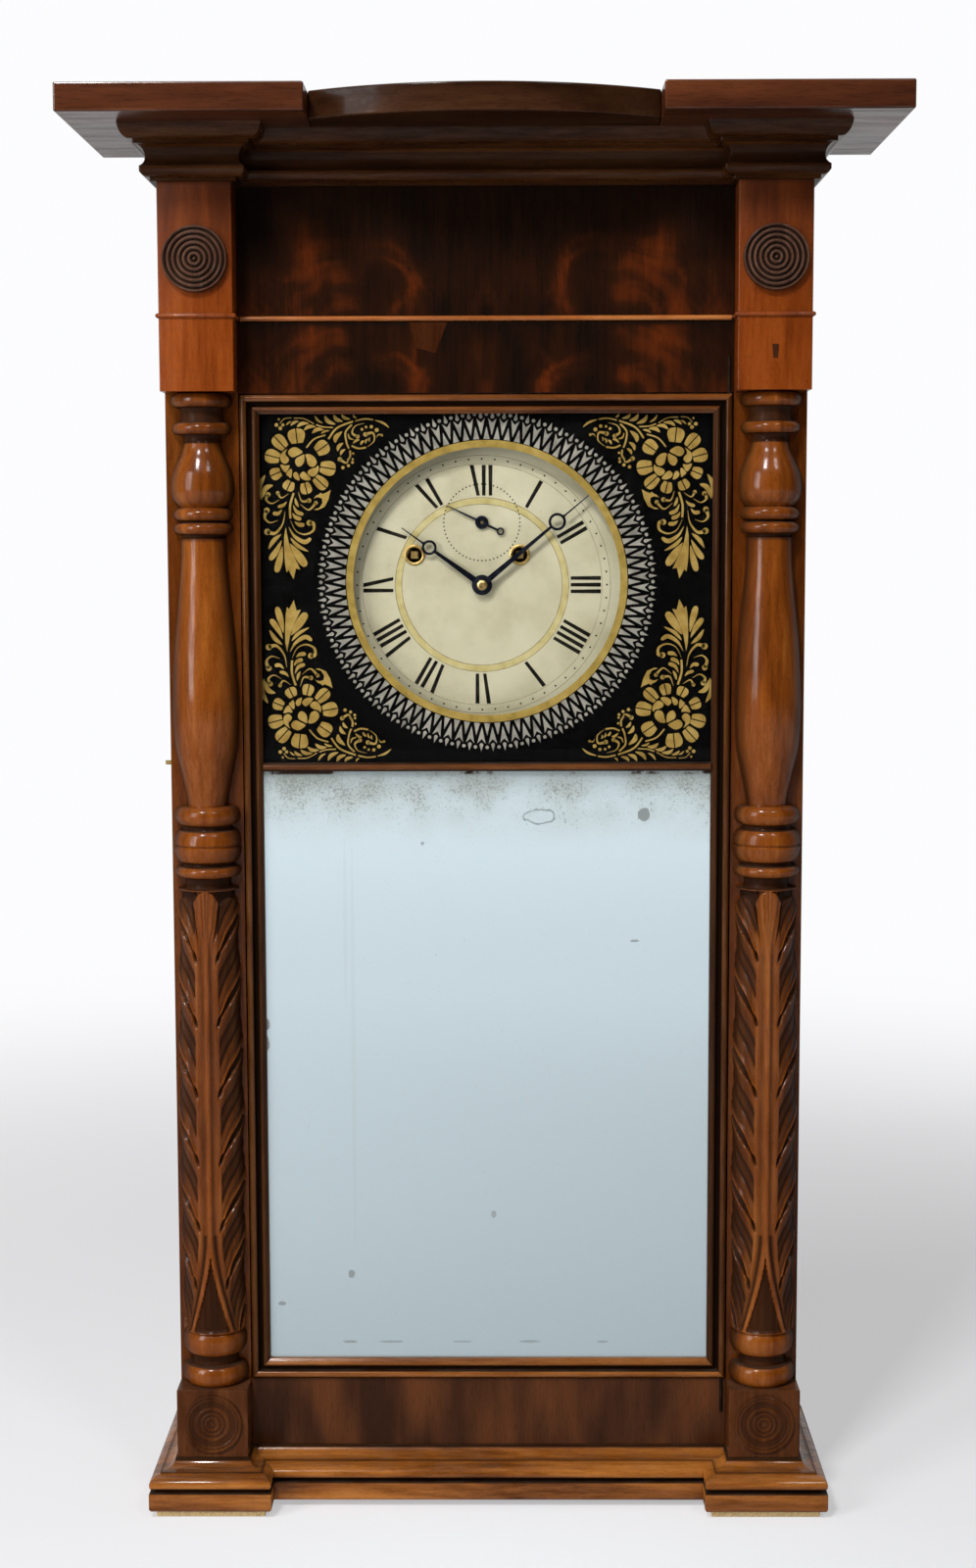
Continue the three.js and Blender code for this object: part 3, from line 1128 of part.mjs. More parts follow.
// Hammer beside the bell, with a tail above the lifting pins.
const hammerY = [liftY[0] + RUNNING_GAP, liftY[0] + RUNNING_GAP + HAMMER_ROD];
const headRight = BELL.x - BELL_RADIUS - HAMMER_REST_GAP;
const headSpan = [headRight - HAMMER_HEAD_LENGTH, headRight];
const headMiddle = new THREE.Vector2((headSpan[0] + headSpan[1]) / 2, BELL.y);
const tailTurn = THREE.MathUtils.degToRad(HAMMER_TAIL_TURN);
const tailEnd = polar(HAMMER_TAIL_LENGTH, tailTurn).add(HAMMER_ARBOR);
const headLine = new THREE.Vector2((hammerY[0] + hammerY[1]) / 2, BELL.y);
const hammer = join(
  plateArbor(HAMMER_ARBOR),
  flatBar(HAMMER_ARBOR, headMiddle, HAMMER_ROD, hammerY),
  flatBar(HAMMER_ARBOR, tailEnd, HAMMER_ROD, hammerY),
  rodAcross(headLine, HAMMER_HEAD_RADIUS, headSpan),
);
addPiece(movementGroup, 'hammer', hammer, wireIron);

// Plates. The back plate carries the pillars, the posts to the back board and the pendulum cock.
const pillars = [
  new THREE.Vector2(PLATE.left + PILLAR_INSET, PLATE.bottom + PILLAR_INSET),
  new THREE.Vector2(PLATE.right - PILLAR_INSET, PLATE.bottom + PILLAR_INSET),
  new THREE.Vector2(PLATE.right - PILLAR_INSET, PLATE.top - PILLAR_INSET),
  new THREE.Vector2(HAMMER_SIDE_PILLAR_X, PLATE.top - PILLAR_INSET),
];

function plate(y) {
  const outline = new THREE.Shape();
  outline.moveTo(PLATE.left, PLATE.bottom);
  outline.lineTo(PLATE.right, PLATE.bottom);
  outline.lineTo(PLATE.right, PLATE.top);
  outline.lineTo(PLATE.left, PLATE.top);
  outline.closePath();
  outline.holes = [
    roundHole(handCentre, CENTRE_RADIUS + PIVOT_PLAY),
    roundHole(GOING_ARBOR, WINDING_RADIUS + PIVOT_PLAY),
    roundHole(STRIKE_ARBOR, WINDING_RADIUS + PIVOT_PLAY),
    ...[THIRD_ARBOR, ESCAPE_ARBOR, anchorArbor, pinWheelArbor, HAMMER_ARBOR].map((at) => (
      roundHole(at, PIVOT_RADIUS + PIVOT_PLAY)
    )),
  ];
  return runBack(outline, y, 4);
}

const minuteStud = rodBack(minuteArbor, MINUTE_STUD_RADIUS, [minutePinionY[0], frontPlateBack]);
addPiece(movementGroup, 'front_plate', join(plate([frontPlateFront, frontPlateBack]), minuteStud), brass);

const cockY = [backPlateBack + COCK_OUT, backPlateBack + COCK_OUT + COCK_DEPTH];
const cockZ = [anchorArbor.y - COCK_HEIGHT, anchorArbor.y];
const cockSpan = [anchorArbor.x - COCK_HALF_WIDTH, anchorArbor.x + COCK_HALF_WIDTH];
const cockArms = [
  box([cockSpan[0], cockSpan[0] + COCK_ARM], [backPlateFront, cockY[1]], cockZ),
  box([cockSpan[1] - COCK_ARM, cockSpan[1]], [backPlateFront, cockY[1]], cockZ),
];
const cockSlot = box(
  [anchorArbor.x - COCK_SLOT_HALF, anchorArbor.x + COCK_SLOT_HALF],
  [pendulumY - COCK_SLOT_DEPTH / 2, pendulumY + COCK_SLOT_DEPTH / 2],
  widened(cockZ, PLATE_THICK),
);
const cockGroove = rodBack(anchorArbor, PENDULUM_PIN_RADIUS + RUNNING_GAP, widened(cockY, PLATE_THICK));
const cock = cut(box(cockSpan, cockY, cockZ), cockSlot, cockGroove);
const backPlate = join(
  plate([backPlateFront, backPlateBack]),
  ...pillars.map((at) => rodBack(at, PILLAR_RADIUS, [frontPlateBack + SEAT_GAP, backPlateBack], 8)),
  ...pillars.map((at) => rodBack(at, POST_RADIUS, [backPlateFront, backBoardFront - SEAT_GAP], 8)),
  ...cockArms,
  cock,
);
addPiece(movementGroup, 'back_plate', backPlate, brass);

// Weights, run down and standing on the case floor beside the side boards.
const weightX = insideHalf - WEIGHT_SIDE_GAP - WEIGHT_RADIUS;
const weightFoot = floorTop + SEAT_GAP;
const weightTop = weightFoot + WEIGHT_HEIGHT;
const neckTop = weightTop + WEIGHT_NECK_HEIGHT;
const weightProfile = [
  [0, weightFoot],
  [WEIGHT_RADIUS - WEIGHT_EDGE, weightFoot],
  [WEIGHT_RADIUS, weightFoot + WEIGHT_EDGE],
  [WEIGHT_RADIUS, weightTop - WEIGHT_EDGE],
  [WEIGHT_RADIUS - WEIGHT_EDGE, weightTop],
  [WEIGHT_NECK_RADIUS, weightTop],
  [WEIGHT_NECK_RADIUS, neckTop],
  [WEIGHT_KNOB_RADIUS, neckTop + WEIGHT_KNOB_HEIGHT / 3],
  [WEIGHT_KNOB_RADIUS, neckTop + (2 * WEIGHT_KNOB_HEIGHT) / 3],
  [0, neckTop + WEIGHT_KNOB_HEIGHT],
].map(([radius, z]) => new THREE.Vector2(radius, z));
const weight = new THREE.LatheGeometry(weightProfile, 16)
  .rotateX(Math.PI / 2)
  .translate(weightX, (stileBack + backBoardFront) / 2, 0);
addPair('weight', weight, castIron);

export default clock;
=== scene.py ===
import math

import bpy
from mathutils import Matrix, Vector, noise


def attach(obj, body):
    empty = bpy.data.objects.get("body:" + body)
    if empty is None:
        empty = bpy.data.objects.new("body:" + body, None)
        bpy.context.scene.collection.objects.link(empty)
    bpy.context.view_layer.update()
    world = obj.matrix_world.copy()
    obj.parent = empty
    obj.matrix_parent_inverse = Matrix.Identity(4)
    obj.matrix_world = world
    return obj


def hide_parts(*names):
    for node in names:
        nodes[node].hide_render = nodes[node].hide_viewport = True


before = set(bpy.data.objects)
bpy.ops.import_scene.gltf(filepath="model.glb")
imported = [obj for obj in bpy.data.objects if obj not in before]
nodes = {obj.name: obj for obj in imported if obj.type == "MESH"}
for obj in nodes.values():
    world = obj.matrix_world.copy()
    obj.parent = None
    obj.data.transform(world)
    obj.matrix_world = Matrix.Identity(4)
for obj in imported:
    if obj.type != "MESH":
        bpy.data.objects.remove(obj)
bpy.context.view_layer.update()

# Camera: a portrait view from a little above the middle of the dial, looking slightly down,
# through a normal lens about one and two thirds of a metre away.
view_place = Vector((0.01388, -1.6565, 0.69518))
view_ahead = Vector((-0.00787284, 0.99441966, -0.10520251)).normalized()
view_roll = math.radians(-0.143)
level_right = view_ahead.cross(Vector((0, 0, 1))).normalized()
level_up = level_right.cross(view_ahead)
view_right = level_right * math.cos(view_roll) + level_up * math.sin(view_roll)
view_up = level_up * math.cos(view_roll) - level_right * math.sin(view_roll)
bpy.ops.object.select_all(action="DESELECT")
bpy.ops.object.camera_add(location=view_place)
camera = bpy.context.object
camera.rotation_euler = Matrix((view_right, view_up, -view_ahead)).transposed().to_euler()
camera.data.sensor_fit = "VERTICAL"
camera.data.sensor_height = 36
camera.data.lens = 53.80
camera.data.clip_end = 100
bpy.context.scene.camera = camera
bpy.context.scene.view_settings.view_transform = "Standard"


# Floor and light: a white floor that runs out into a white room, with soft boxes above the camera
# and one on its left. The room in front of the clock is dim, so that dark glass and polish stay dark.
def feed(tree, node, inputs):
    for socket, value in inputs.items():
        if isinstance(value, bpy.types.NodeSocket):
            tree.links.new(value, node.inputs[socket])
        else:
            node.inputs[socket].default_value = value


def add_node(tree, kind, inputs=None, **settings):
    node = tree.nodes.new(kind)
    for setting, value in settings.items():
        setattr(node, setting, value)
    feed(tree, node, inputs or {})
    return node


def maths(tree, operation, first, second=0.0, third=0.0):
    return add_node(tree, "ShaderNodeMath", {0: first, 1: second, 2: third}, operation=operation).outputs[0]


def span(tree, value, start, end, low=0.0, high=1.0):
    inputs = {"Value": value, "From Min": start, "From Max": end, "To Min": low, "To Max": high}
    return add_node(tree, "ShaderNodeMapRange", inputs, interpolation_type="SMOOTHSTEP").outputs["Result"]


def blend_colours(tree, share, first, second, mode="MIX"):
    mix = add_node(tree, "ShaderNodeMix", {0: share, 6: first, 7: second}, data_type="RGBA", blend_type=mode)
    return mix.outputs[2]


def bare_tree(owner):
    owner.use_nodes = True
    owner.node_tree.nodes.clear()
    return owner.node_tree


def seen_by(tree, ray):
    direct = maths(tree, "MAXIMUM", ray.outputs["Is Camera Ray"], ray.outputs["Is Glossy Ray"])
    return maths(tree, "MAXIMUM", direct, ray.outputs["Is Transmission Ray"])


ROOM_WHITE = (0.975, 0.975, 0.99, 1)
FLOOR_MIDDLE = (0, -1.0, 0)
bpy.ops.mesh.primitive_plane_add(size=1, location=FLOOR_MIDDLE)
floor = bpy.context.object
floor.name = "floor"
bpy.ops.transform.resize(value=(14, 10, 1), center_override=FLOOR_MIDDLE)
bpy.ops.object.transform_apply()
floor_white = bpy.data.materials.new("floor_white")
tree = bare_tree(floor_white)
place = add_node(tree, "ShaderNodeTexCoord").outputs["Object"]
distance = add_node(tree, "ShaderNodeVectorMath", {0: place}, operation="LENGTH").outputs["Value"]
ray = add_node(tree, "ShaderNodeLightPath")
share = maths(tree, "MULTIPLY", seen_by(tree, ray), span(tree, distance, 0.5, 2.0, 0.5, 1.0))
matt = add_node(tree, "ShaderNodeBsdfDiffuse", {"Color": (0.86, 0.86, 0.88, 1)})
bright = span(tree, distance, 0.6, 2.4, 0.9, 1.0)
mirrored = span(tree, distance, 0.1, 2.0, 0.0, 0.82)
mirrored = maths(tree, "ADD", mirrored, span(tree, distance, 1.9, 4.0, 0.0, 0.17))
mirrored = maths(tree, "SUBTRACT", mirrored, span(tree, distance, 4.6, 5.6, 0.0, 0.9))
change = maths(tree, "SUBTRACT", mirrored, bright)
strength = maths(tree, "MULTIPLY_ADD", ray.outputs["Is Glossy Ray"], change, bright)
glow = add_node(tree, "ShaderNodeEmission", {"Color": ROOM_WHITE, "Strength": strength})
mixed = add_node(tree, "ShaderNodeMixShader", {0: share, 1: matt.outputs[0], 2: glow.outputs[0]})
add_node(tree, "ShaderNodeOutputMaterial", {"Surface": mixed.outputs[0]})
floor.data.materials.append(floor_white)

room = bpy.data.worlds.new("room")
bpy.context.scene.world = room
tree = bare_tree(room)
ray = add_node(tree, "ShaderNodeLightPath")
place = add_node(tree, "ShaderNodeTexCoord").outputs["Generated"]
towards = add_node(tree, "ShaderNodeSeparateXYZ", {0: place})
in_front = span(tree, towards.outputs["Y"], 0.45, -0.1)
dimmed = maths(tree, "MULTIPLY", in_front, ray.outputs["Is Glossy Ray"])
behind = blend_colours(tree, ray.outputs["Is Glossy Ray"], ROOM_WHITE, (0.6, 0.6, 0.6, 1))
seen_colour = blend_colours(tree, dimmed, behind, (0.016, 0.015, 0.014, 1))
ambient = add_node(tree, "ShaderNodeBackground", {"Color": (1, 1, 1, 1), "Strength": 0.12})
backdrop = add_node(tree, "ShaderNodeBackground", {"Color": seen_colour, "Strength": 1.0})
seen = seen_by(tree, ray)
mixed = add_node(tree, "ShaderNodeMixShader", {0: seen, 1: ambient.outputs[0], 2: backdrop.outputs[0]})
add_node(tree, "ShaderNodeOutputWorld", {"Surface": mixed.outputs[0]})


def soft_box(name, place, aim, width, height, power):
    bpy.ops.object.light_add(type="AREA", location=place)
    lamp = bpy.context.object
    lamp.name = name
    lamp.rotation_euler = (Vector(aim) - Vector(place)).to_track_quat("-Z", "Y").to_euler()
    lamp.data.shape = "RECTANGLE"
    lamp.data.size = width
    lamp.data.size_y = height
    lamp.data.energy = power


soft_box("key_box", (-0.75, -1.75, 2.6), (0, 0, 0.5), 0.45, 0.45, 55)
soft_box("side_box", (-1.75, -1.5, 1.2), (0, 0, 0.5), 0.8, 1.4, 35)
soft_box("fill_box", (0.95, -1.75, 2.5), (0, 0, 0.5), 0.45, 0.45, 13)


# Carcase: side boards of polished mahogany, with floor, top and back of plain sawn pine inside.
# The back is three planks nailed to the edges of the other boards.
MM = 0.001
CASE_BACK = 95.0
PLINTH_TOP = 37.2
SLAB_BOTTOM = 971.1


def new_group(name, inputs, outputs):
    group = bpy.data.node_groups.new(name, "ShaderNodeTree")
    kinds = {"value": "NodeSocketFloat", "colour": "NodeSocketColor", "vector": "NodeSocketVector"}
    for socket, kind in inputs:
        group.interface.new_socket(name=socket, in_out="INPUT", socket_type=kinds[kind])
    for socket, kind in outputs:
        group.interface.new_socket(name=socket, in_out="OUTPUT", socket_type=kinds[kind])
    start = group.nodes.new("NodeGroupInput")
    return group, start.outputs, group.nodes.new("NodeGroupOutput")


def cloudy(tree, place, scale, detail, rough=0.5, twist=0.0):
    inputs = {"Vector": place, "Scale": scale, "Detail": detail, "Roughness": rough, "Distortion": twist}
    return add_node(tree, "ShaderNodeTexNoise", inputs).outputs[0]


# Wood grain: broad figure, streaks and pores, all drawn out along the grain by the vector that comes in.
wood_grain, taken, given = new_group(
    "wood_grain",
    [("Vector", "vector"), ("Scale", "value")],
    [("Figure", "value"), ("Streak", "value"), ("Pores", "value")],
)
streak_scale = maths(wood_grain, "MULTIPLY", taken["Scale"], 8.0)
pore_scale = maths(wood_grain, "MULTIPLY", taken["Scale"], 55.0)
feed(wood_grain, given, {
    "Figure": cloudy(wood_grain, taken["Vector"], taken["Scale"], 3.0, 0.55, 0.9),
    "Streak": cloudy(wood_grain, taken["Vector"], streak_scale, 6.0, 0.65, 0.25),
    "Pores": span(wood_grain, cloudy(wood_grain, taken["Vector"], pore_scale, 2.0), 0.34, 0.46),
})

# Settled dust: a pale film that gathers on faces that look up.
settled_dust, taken, given = new_group(
    "settled_dust",
    [("Colour", "colour"), ("Amount", "value"), ("Vector", "vector")],
    [("Colour", "colour"), ("Mask", "value")],
)
facing = add_node(settled_dust, "ShaderNodeNewGeometry").outputs["Normal"]
facing_up = add_node(settled_dust, "ShaderNodeSeparateXYZ", {0: facing}).outputs["Z"]
lying = span(settled_dust, facing_up, 0.55, 0.95)
patchy = span(settled_dust, cloudy(settled_dust, taken["Vector"], 60.0, 4.0), 0.25, 0.75)
film = maths(settled_dust, "MULTIPLY", maths(settled_dust, "MULTIPLY", lying, patchy), taken["Amount"])
dusted = blend_colours(settled_dust, film, taken["Colour"], (0.36, 0.31, 0.25, 1))
feed(settled_dust, given, {"Colour": dusted, "Mask": film})


def start_material(name):
    material = bpy.data.materials.new(name)
    material.use_nodes = True
    return material, material.node_tree, material.node_tree.nodes["Principled BSDF"]


def own_place(tree):
    return add_node(tree, "ShaderNodeTexCoord").outputs["Object"]


def ramp(tree, factor, positions, tones):
    node = add_node(tree, "ShaderNodeValToRGB", {"Fac": factor})
    steps = node.color_ramp.elements
    while len(steps) < len(tones):
        steps.new(0.5)
    for step, position, tone in zip(steps, positions, tones):
        step.position = position
        step.color = (*tone, 1)
    return node.outputs["Color"]


def bumped(tree, height, strength, distance=0.0002):
    inputs = {"Height": height, "Strength": strength, "Distance": distance}
    return add_node(tree, "ShaderNodeBump", inputs).outputs[0]


def wood_finish(
    name, tones, along, shift=(0, 0, 0), scale=40.0, rough=0.28, coat=0.28, dust=0.05, shine=0.15,
    with_shade_and_dirt=False,
):
    material, tree, shader = start_material(name)
    place = own_place(tree)
    stretch = [1.0, 1.0, 1.0]
    stretch[along] = 0.11
    drawn = {"Vector": place, "Location": shift, "Scale": stretch}
    drawn_out = add_node(tree, "ShaderNodeMapping", drawn).outputs[0]
    grain = add_node(tree, "ShaderNodeGroup", {}, node_tree=wood_grain)
    feed(tree, grain, {"Vector": drawn_out, "Scale": scale})
    streak = grain.outputs["Streak"]
    mixed = maths(tree, "MULTIPLY_ADD", streak, 0.3, maths(tree, "MULTIPLY", grain.outputs["Figure"], 0.7))
    pore_shade = maths(tree, "MULTIPLY_ADD", grain.outputs["Pores"], 0.25, 0.75)
    colour = blend_colours(tree, 1.0, ramp(tree, mixed, (0.36, 0.5, 0.63), tones), pore_shade, "MULTIPLY")
    gloss = maths(tree, "MULTIPLY_ADD", streak, 0.22, rough - 0.1)
    polish = span(tree, streak, 0.38, 0.58, coat * 0.4, coat)
    # The per-vertex attribute read here paints shade into recesses, grooves, undersides and flanks turned
    # away from the front, with some real dirt and rubbed wear: it darkens the colour and dulls the polish.
    if with_shade_and_dirt:
        shade_and_dirt = add_node(tree, "ShaderNodeAttribute", attribute_name="shade_and_dirt").outputs["Fac"]
        colour = blend_colours(tree, maths(tree, "MULTIPLY", shade_and_dirt, 0.95), colour, (0.01, 0.004, 0.0018, 1))
        polish = maths(tree, "MULTIPLY", maths(tree, "SUBTRACT", 1.0, shade_and_dirt), polish)
        gloss = maths(tree, "MULTIPLY_ADD", shade_and_dirt, 0.35, gloss)
    film = add_node(tree, "ShaderNodeGroup", {}, node_tree=settled_dust)
    feed(tree, film, {"Colour": colour, "Vector": place, "Amount": dust})
    feed(tree, shader, {
        "Base Color": film.outputs["Colour"],
        "Roughness": maths(tree, "MULTIPLY_ADD", film.outputs["Mask"], 0.4, gloss),
        "Specular IOR Level": shine,
        "Coat Weight": polish,
        "Coat Roughness": 0.13,
        "Normal": bumped(tree, grain.outputs["Pores"], 0.18),
    })
    return material


def coat_piece(piece, material):
    piece.data.materials.clear()
    piece.data.materials.append(material)


def dress(material, *names):
    for name in names:
        coat_piece(nodes[name], material)


def fit_piece(piece, material, node="", body="case"):
    coat_piece(piece, material)
    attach(piece, body)
    if node:
        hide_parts(node)


ORANGE_WOOD = ((0.11, 0.022, 0.002), (0.205, 0.047, 0.005), (0.3, 0.082, 0.012))
PINE_WOOD = ((0.2, 0.115, 0.05), (0.33, 0.205, 0.1), (0.45, 0.3, 0.16))
side_wood = wood_finish("side_polished_wood", ORANGE_WOOD, 2, shift=(0.4, 0.1, 0.3))
pine_across = wood_finish("pine_across", PINE_WOOD, 0, rough=0.7, coat=0.0)
dress(side_wood, "left_side_board", "right_side_board")
dress(pine_across, "case_floor", "case_top_board")


def just_made(name):
    piece = bpy.context.object
    piece.name = name
    piece.data.name = name
    return piece


def round_edges(piece, radius, segments=3, angle=40):
    bpy.context.view_layer.objects.active = piece
    bpy.ops.object.modifier_add(type="BEVEL")
    bevel = piece.modifiers[-1]
    bevel.width = radius * MM
    bevel.segments = segments
    bevel.limit_method = "ANGLE"
    bevel.angle_limit = math.radians(angle)
    bpy.ops.object.modifier_apply(modifier=bevel.name)


def board(name, low, high, edge):
    low = Vector(low) * MM
    high = Vector(high) * MM
    bpy.ops.object.select_all(action="DESELECT")
    bpy.ops.mesh.primitive_cube_add(size=1, location=(low + high) / 2, scale=high - low)
    bpy.ops.object.transform_apply()
    piece = just_made(name)
    round_edges(piece, edge)
    return piece


PLANK_EDGES = (-213.0, -74.0, 68.0, 213.0)
PLANK_TONES = (0.82, 1.12, 0.95)
PLANK_FRONT = 87.0
HALF_JOINT = 0.3
for number, tone in enumerate(PLANK_TONES):
    low = (PLANK_EDGES[number] + HALF_JOINT, PLANK_FRONT, PLINTH_TOP)
    high = (PLANK_EDGES[number + 1] - HALF_JOINT, CASE_BACK, SLAB_BOTTOM)
    plank = board(f"back_plank_{number + 1}", low, high, 1.6)
    tones = [tuple(tone * part for part in colour) for colour in PINE_WOOD]
    shift = (0.4 * number, 0.3, 0.7 * number)
    plank_pine = wood_finish(f"plank_pine_{number + 1}", tones, 2, shift, rough=0.7, coat=0.0)
    fit_piece(plank, plank_pine, "back_board")


# Stiles: upright boards of polished mahogany behind the columns, glued to the side boards.
# The door shuts between them.
# Painted shade: the stiles' tone is darkened to stand in for the shade the columns cast beside the door.
STILE_SHADED_TONES = ((0.05, 0.011, 0.001), (0.095, 0.022, 0.0022), (0.145, 0.04, 0.005))
stile_shaded_finish = wood_finish("stile_shaded_polished_wood", STILE_SHADED_TONES, 2, shift=(0.7, 0.2, 0.1), shine=0.06)
dress(stile_shaded_finish, "left_stile", "right_stile")


# Frieze and bottom rail: boards between the stiles, faced with book-matched flame mahogany.
# A half-round bead is pinned across the frieze, and an old repair shows below it.
BETWEEN_STILES = 172.1
STILE_FRONT = -9.0
STILE_BACK = 9.0
LOWER_BLOCK_TOP = 87.0
COLUMN_TOP = 794.0
BEAD_BOTTOM = 843.5
BEAD_TOP = 847.0
BEAD_HALF = 170.1


def ease(start, end, value):
    share = min(max((value - start) / (end - start), 0.0), 1.0)
    return share * share * (3 - 2 * share)


def strand(along, across, seed):
    coarse = noise.noise((along, across, seed))
    fine = noise.noise((along * 2.7, across * 1.6, seed + 5))
    return ease(-0.6, 0.7, coarse + 0.6 * fine)


def flame_and_shadow_at(x, z):
    rough = noise.noise((x * 0.06, z * 0.05, 9.0))
    aside = abs(x) + 9 * noise.noise((x * 0.017, z * 0.02, 1.3)) + 4 * rough
    up = z + 9 * noise.noise((x * 0.017, z * 0.02, 6.7)) + 5 * noise.noise((x * 0.06, z * 0.03, 3.0))
    eye_x, eye_z, reach = 75.5, 866.0, 22.0
    if z < 845:
        up += 47
        eye_x, eye_z, reach = 62.0, 844.0, 16.0
    ring = math.hypot(aside - eye_x, (up - eye_z) * 0.85)
    round_eye = math.atan2(up - eye_z, eye_x - aside)
    inner = math.exp(-((ring - reach) / 6.5) ** 2) * (1 - ease(0.9, 2.2, abs(round_eye - 0.5)))
    inner *= 0.35 + 0.65 * strand(ring * 0.24, round_eye * 1.1, 2.0)
    spread = (aside - 44) / (0.65 + 0.35 * (up - 845) / 45)
    fan = math.exp(-(spread / 15) ** 2) * ease(898, 866, up)
    fan *= 0.3 + 0.7 * strand(spread * 0.2, up * 0.016, 4.0)
    middle = math.exp(-((aside - 6) / 10) ** 2) * ease(892, 862, up) * strand(aside * 0.16, up * 0.01, 8.0)
    sweep = math.hypot(aside - 88, up - 812)
    lean = math.degrees(math.atan2(aside - 88, up - 812))
    limit = 94 + 19 * math.exp(-((lean - 18) / 9) ** 2) + 16 * ease(38, 52, lean)
    wing = (1 - ease(limit - 26, limit + 2, sweep)) * ease(-8, 14, lean) * ease(26, 44, sweep)
    wing *= 0.3 + 0.7 * strand(sweep * 0.1, lean * 0.03, 6.0)
    tongue = math.exp(-((aside - 124) / 13) ** 2 - ((up - 893) / 22) ** 2)
    smoke = 0.2 * strand(x * 0.05, z * 0.012, 11.0)
    smoke += 0.12 * ease(-0.3, 0.4, noise.noise((x * 0.02, z * 0.02, 14.0)))
    glow = 0.75 * inner + 0.5 * fan + 0.4 * middle + 0.75 * wing + 0.4 * tongue + smoke
    glow *= 0.82 + 0.3 * noise.noise((x * 0.5, z * 0.04, 17.0)) + 0.2 * rough
    # Painted shadow: the veneer darkens in a band just under the bead, and towards the top it darkens partly
    # as painted shade under the cornice and partly with the figure's own fading.
    glow *= ease(843.4, 838.5, z) if z < BEAD_BOTTOM else 1.0
    return max(min(glow, 1.1), 0.0) * (0.45 + 0.55 * ease(930, 882, z))


def clouded_at(x, z):
    smoke = math.exp(-((abs(x) - 78) / 13) ** 2) * (0.5 + 0.5 * strand(x * 0.08, z * 0.02, 1.0))
    return 0.75 * strand(x * 0.03, z * 0.012, 3.0) + 0.25 * strand(x * 0.12, z * 0.02, 7.0) - 0.6 * smoke


def set_grain_and_shade(piece, cuts, grain_and_shade_at):
    bpy.ops.object.mode_set(mode="EDIT")
    bpy.ops.mesh.select_mode(type="FACE")
    bpy.ops.mesh.select_all(action="DESELECT")
    bpy.ops.object.mode_set(mode="OBJECT")
    for face in piece.data.polygons:
        face.select = face.normal.y < -0.99 and face.area > 0.001
    bpy.ops.object.mode_set(mode="EDIT")
    bpy.ops.mesh.subdivide(number_cuts=cuts)
    bpy.ops.object.mode_set(mode="OBJECT")
    values = [grain_and_shade_at(point.co.x / MM, point.co.z / MM) for point in piece.data.vertices]
    piece.data.attributes.new("grain_and_shade", "FLOAT", "POINT").data.foreach_set("value", values)


def flame_finish(name, dark, middle, flame):
    material, tree, shader = start_material(name)
    upright = {"Vector": own_place(tree), "Scale": (1.0, 1.0, 0.05)}
    drawn_out = add_node(tree, "ShaderNodeMapping", upright).outputs[0]
    grain = add_node(tree, "ShaderNodeGroup", {}, node_tree=wood_grain)
    feed(tree, grain, {"Vector": drawn_out, "Scale": 40.0})
    grain_and_shade = add_node(tree, "ShaderNodeAttribute", attribute_name="grain_and_shade").outputs["Fac"]
    streaks = span(tree, grain.outputs["Streak"], 0.3, 0.7)
    lit = maths(tree, "MULTIPLY_ADD", streaks, 0.16, maths(tree, "SUBTRACT", grain_and_shade, 0.08))
    colour = ramp(tree, lit, (0.0, 0.42, 1.0), (dark, middle, flame))
    pore_shade = maths(tree, "MULTIPLY_ADD", grain.outputs["Pores"], 0.3, 0.7)
    feed(tree, shader, {
        "Base Color": blend_colours(tree, 1.0, colour, pore_shade, "MULTIPLY"),
        "Roughness": maths(tree, "MULTIPLY_ADD", grain.outputs["Streak"], 0.15, 0.16),
        "Specular IOR Level": 0.05,
        "Coat Weight": 0.12,
        "Coat Roughness": 0.1,
    })
    return material


FRIEZE_FLAME = ((0.0062, 0.0033, 0.0021), (0.02, 0.006, 0.0024), (0.076, 0.0145, 0.003))
RAIL_FLAME = ((0.031, 0.0105, 0.0042), (0.062, 0.0205, 0.0072), (0.105, 0.033, 0.0098))
# Painted light: the bead's tone is brightened so that it reads as lit from above.
BEAD_LIT_TONES = ((0.2, 0.05, 0.008), (0.32, 0.095, 0.018), (0.42, 0.15, 0.035))
PATCH_WOOD = ((0.016, 0.004, 0.0012), (0.03, 0.0078, 0.002), (0.045, 0.012, 0.0032))
frieze_veneer = flame_finish("frieze_flame_veneer", *FRIEZE_FLAME)
rail_veneer = flame_finish("rail_flame_veneer", *RAIL_FLAME)
bead_lit_finish = wood_finish("bead_lit_polished_wood", BEAD_LIT_TONES, 0, shift=(0.2, 0.4, 0.6), rough=0.2, coat=1.0)
patch_wood = wood_finish("patch_veneer", PATCH_WOOD, 2, shine=0.05, coat=0.1)

low = (-BETWEEN_STILES, STILE_FRONT, COLUMN_TOP)
frieze = board("frieze", low, (BETWEEN_STILES, STILE_BACK, SLAB_BOTTOM), 0.3)
set_grain_and_shade(frieze, 150, flame_and_shadow_at)
fit_piece(frieze, frieze_veneer, "frieze_board")


def open_mesh():
    bpy.ops.object.mode_set(mode="EDIT")
    bpy.ops.mesh.select_all(action="SELECT")


def close_mesh():
    bpy.ops.mesh.select_all(action="SELECT")
    bpy.ops.mesh.normals_make_consistent(inside=False)
    bpy.ops.object.mode_set(mode="OBJECT")


def smooth_faces(angle):
    bpy.ops.object.shade_smooth_by_angle(angle=math.radians(angle))


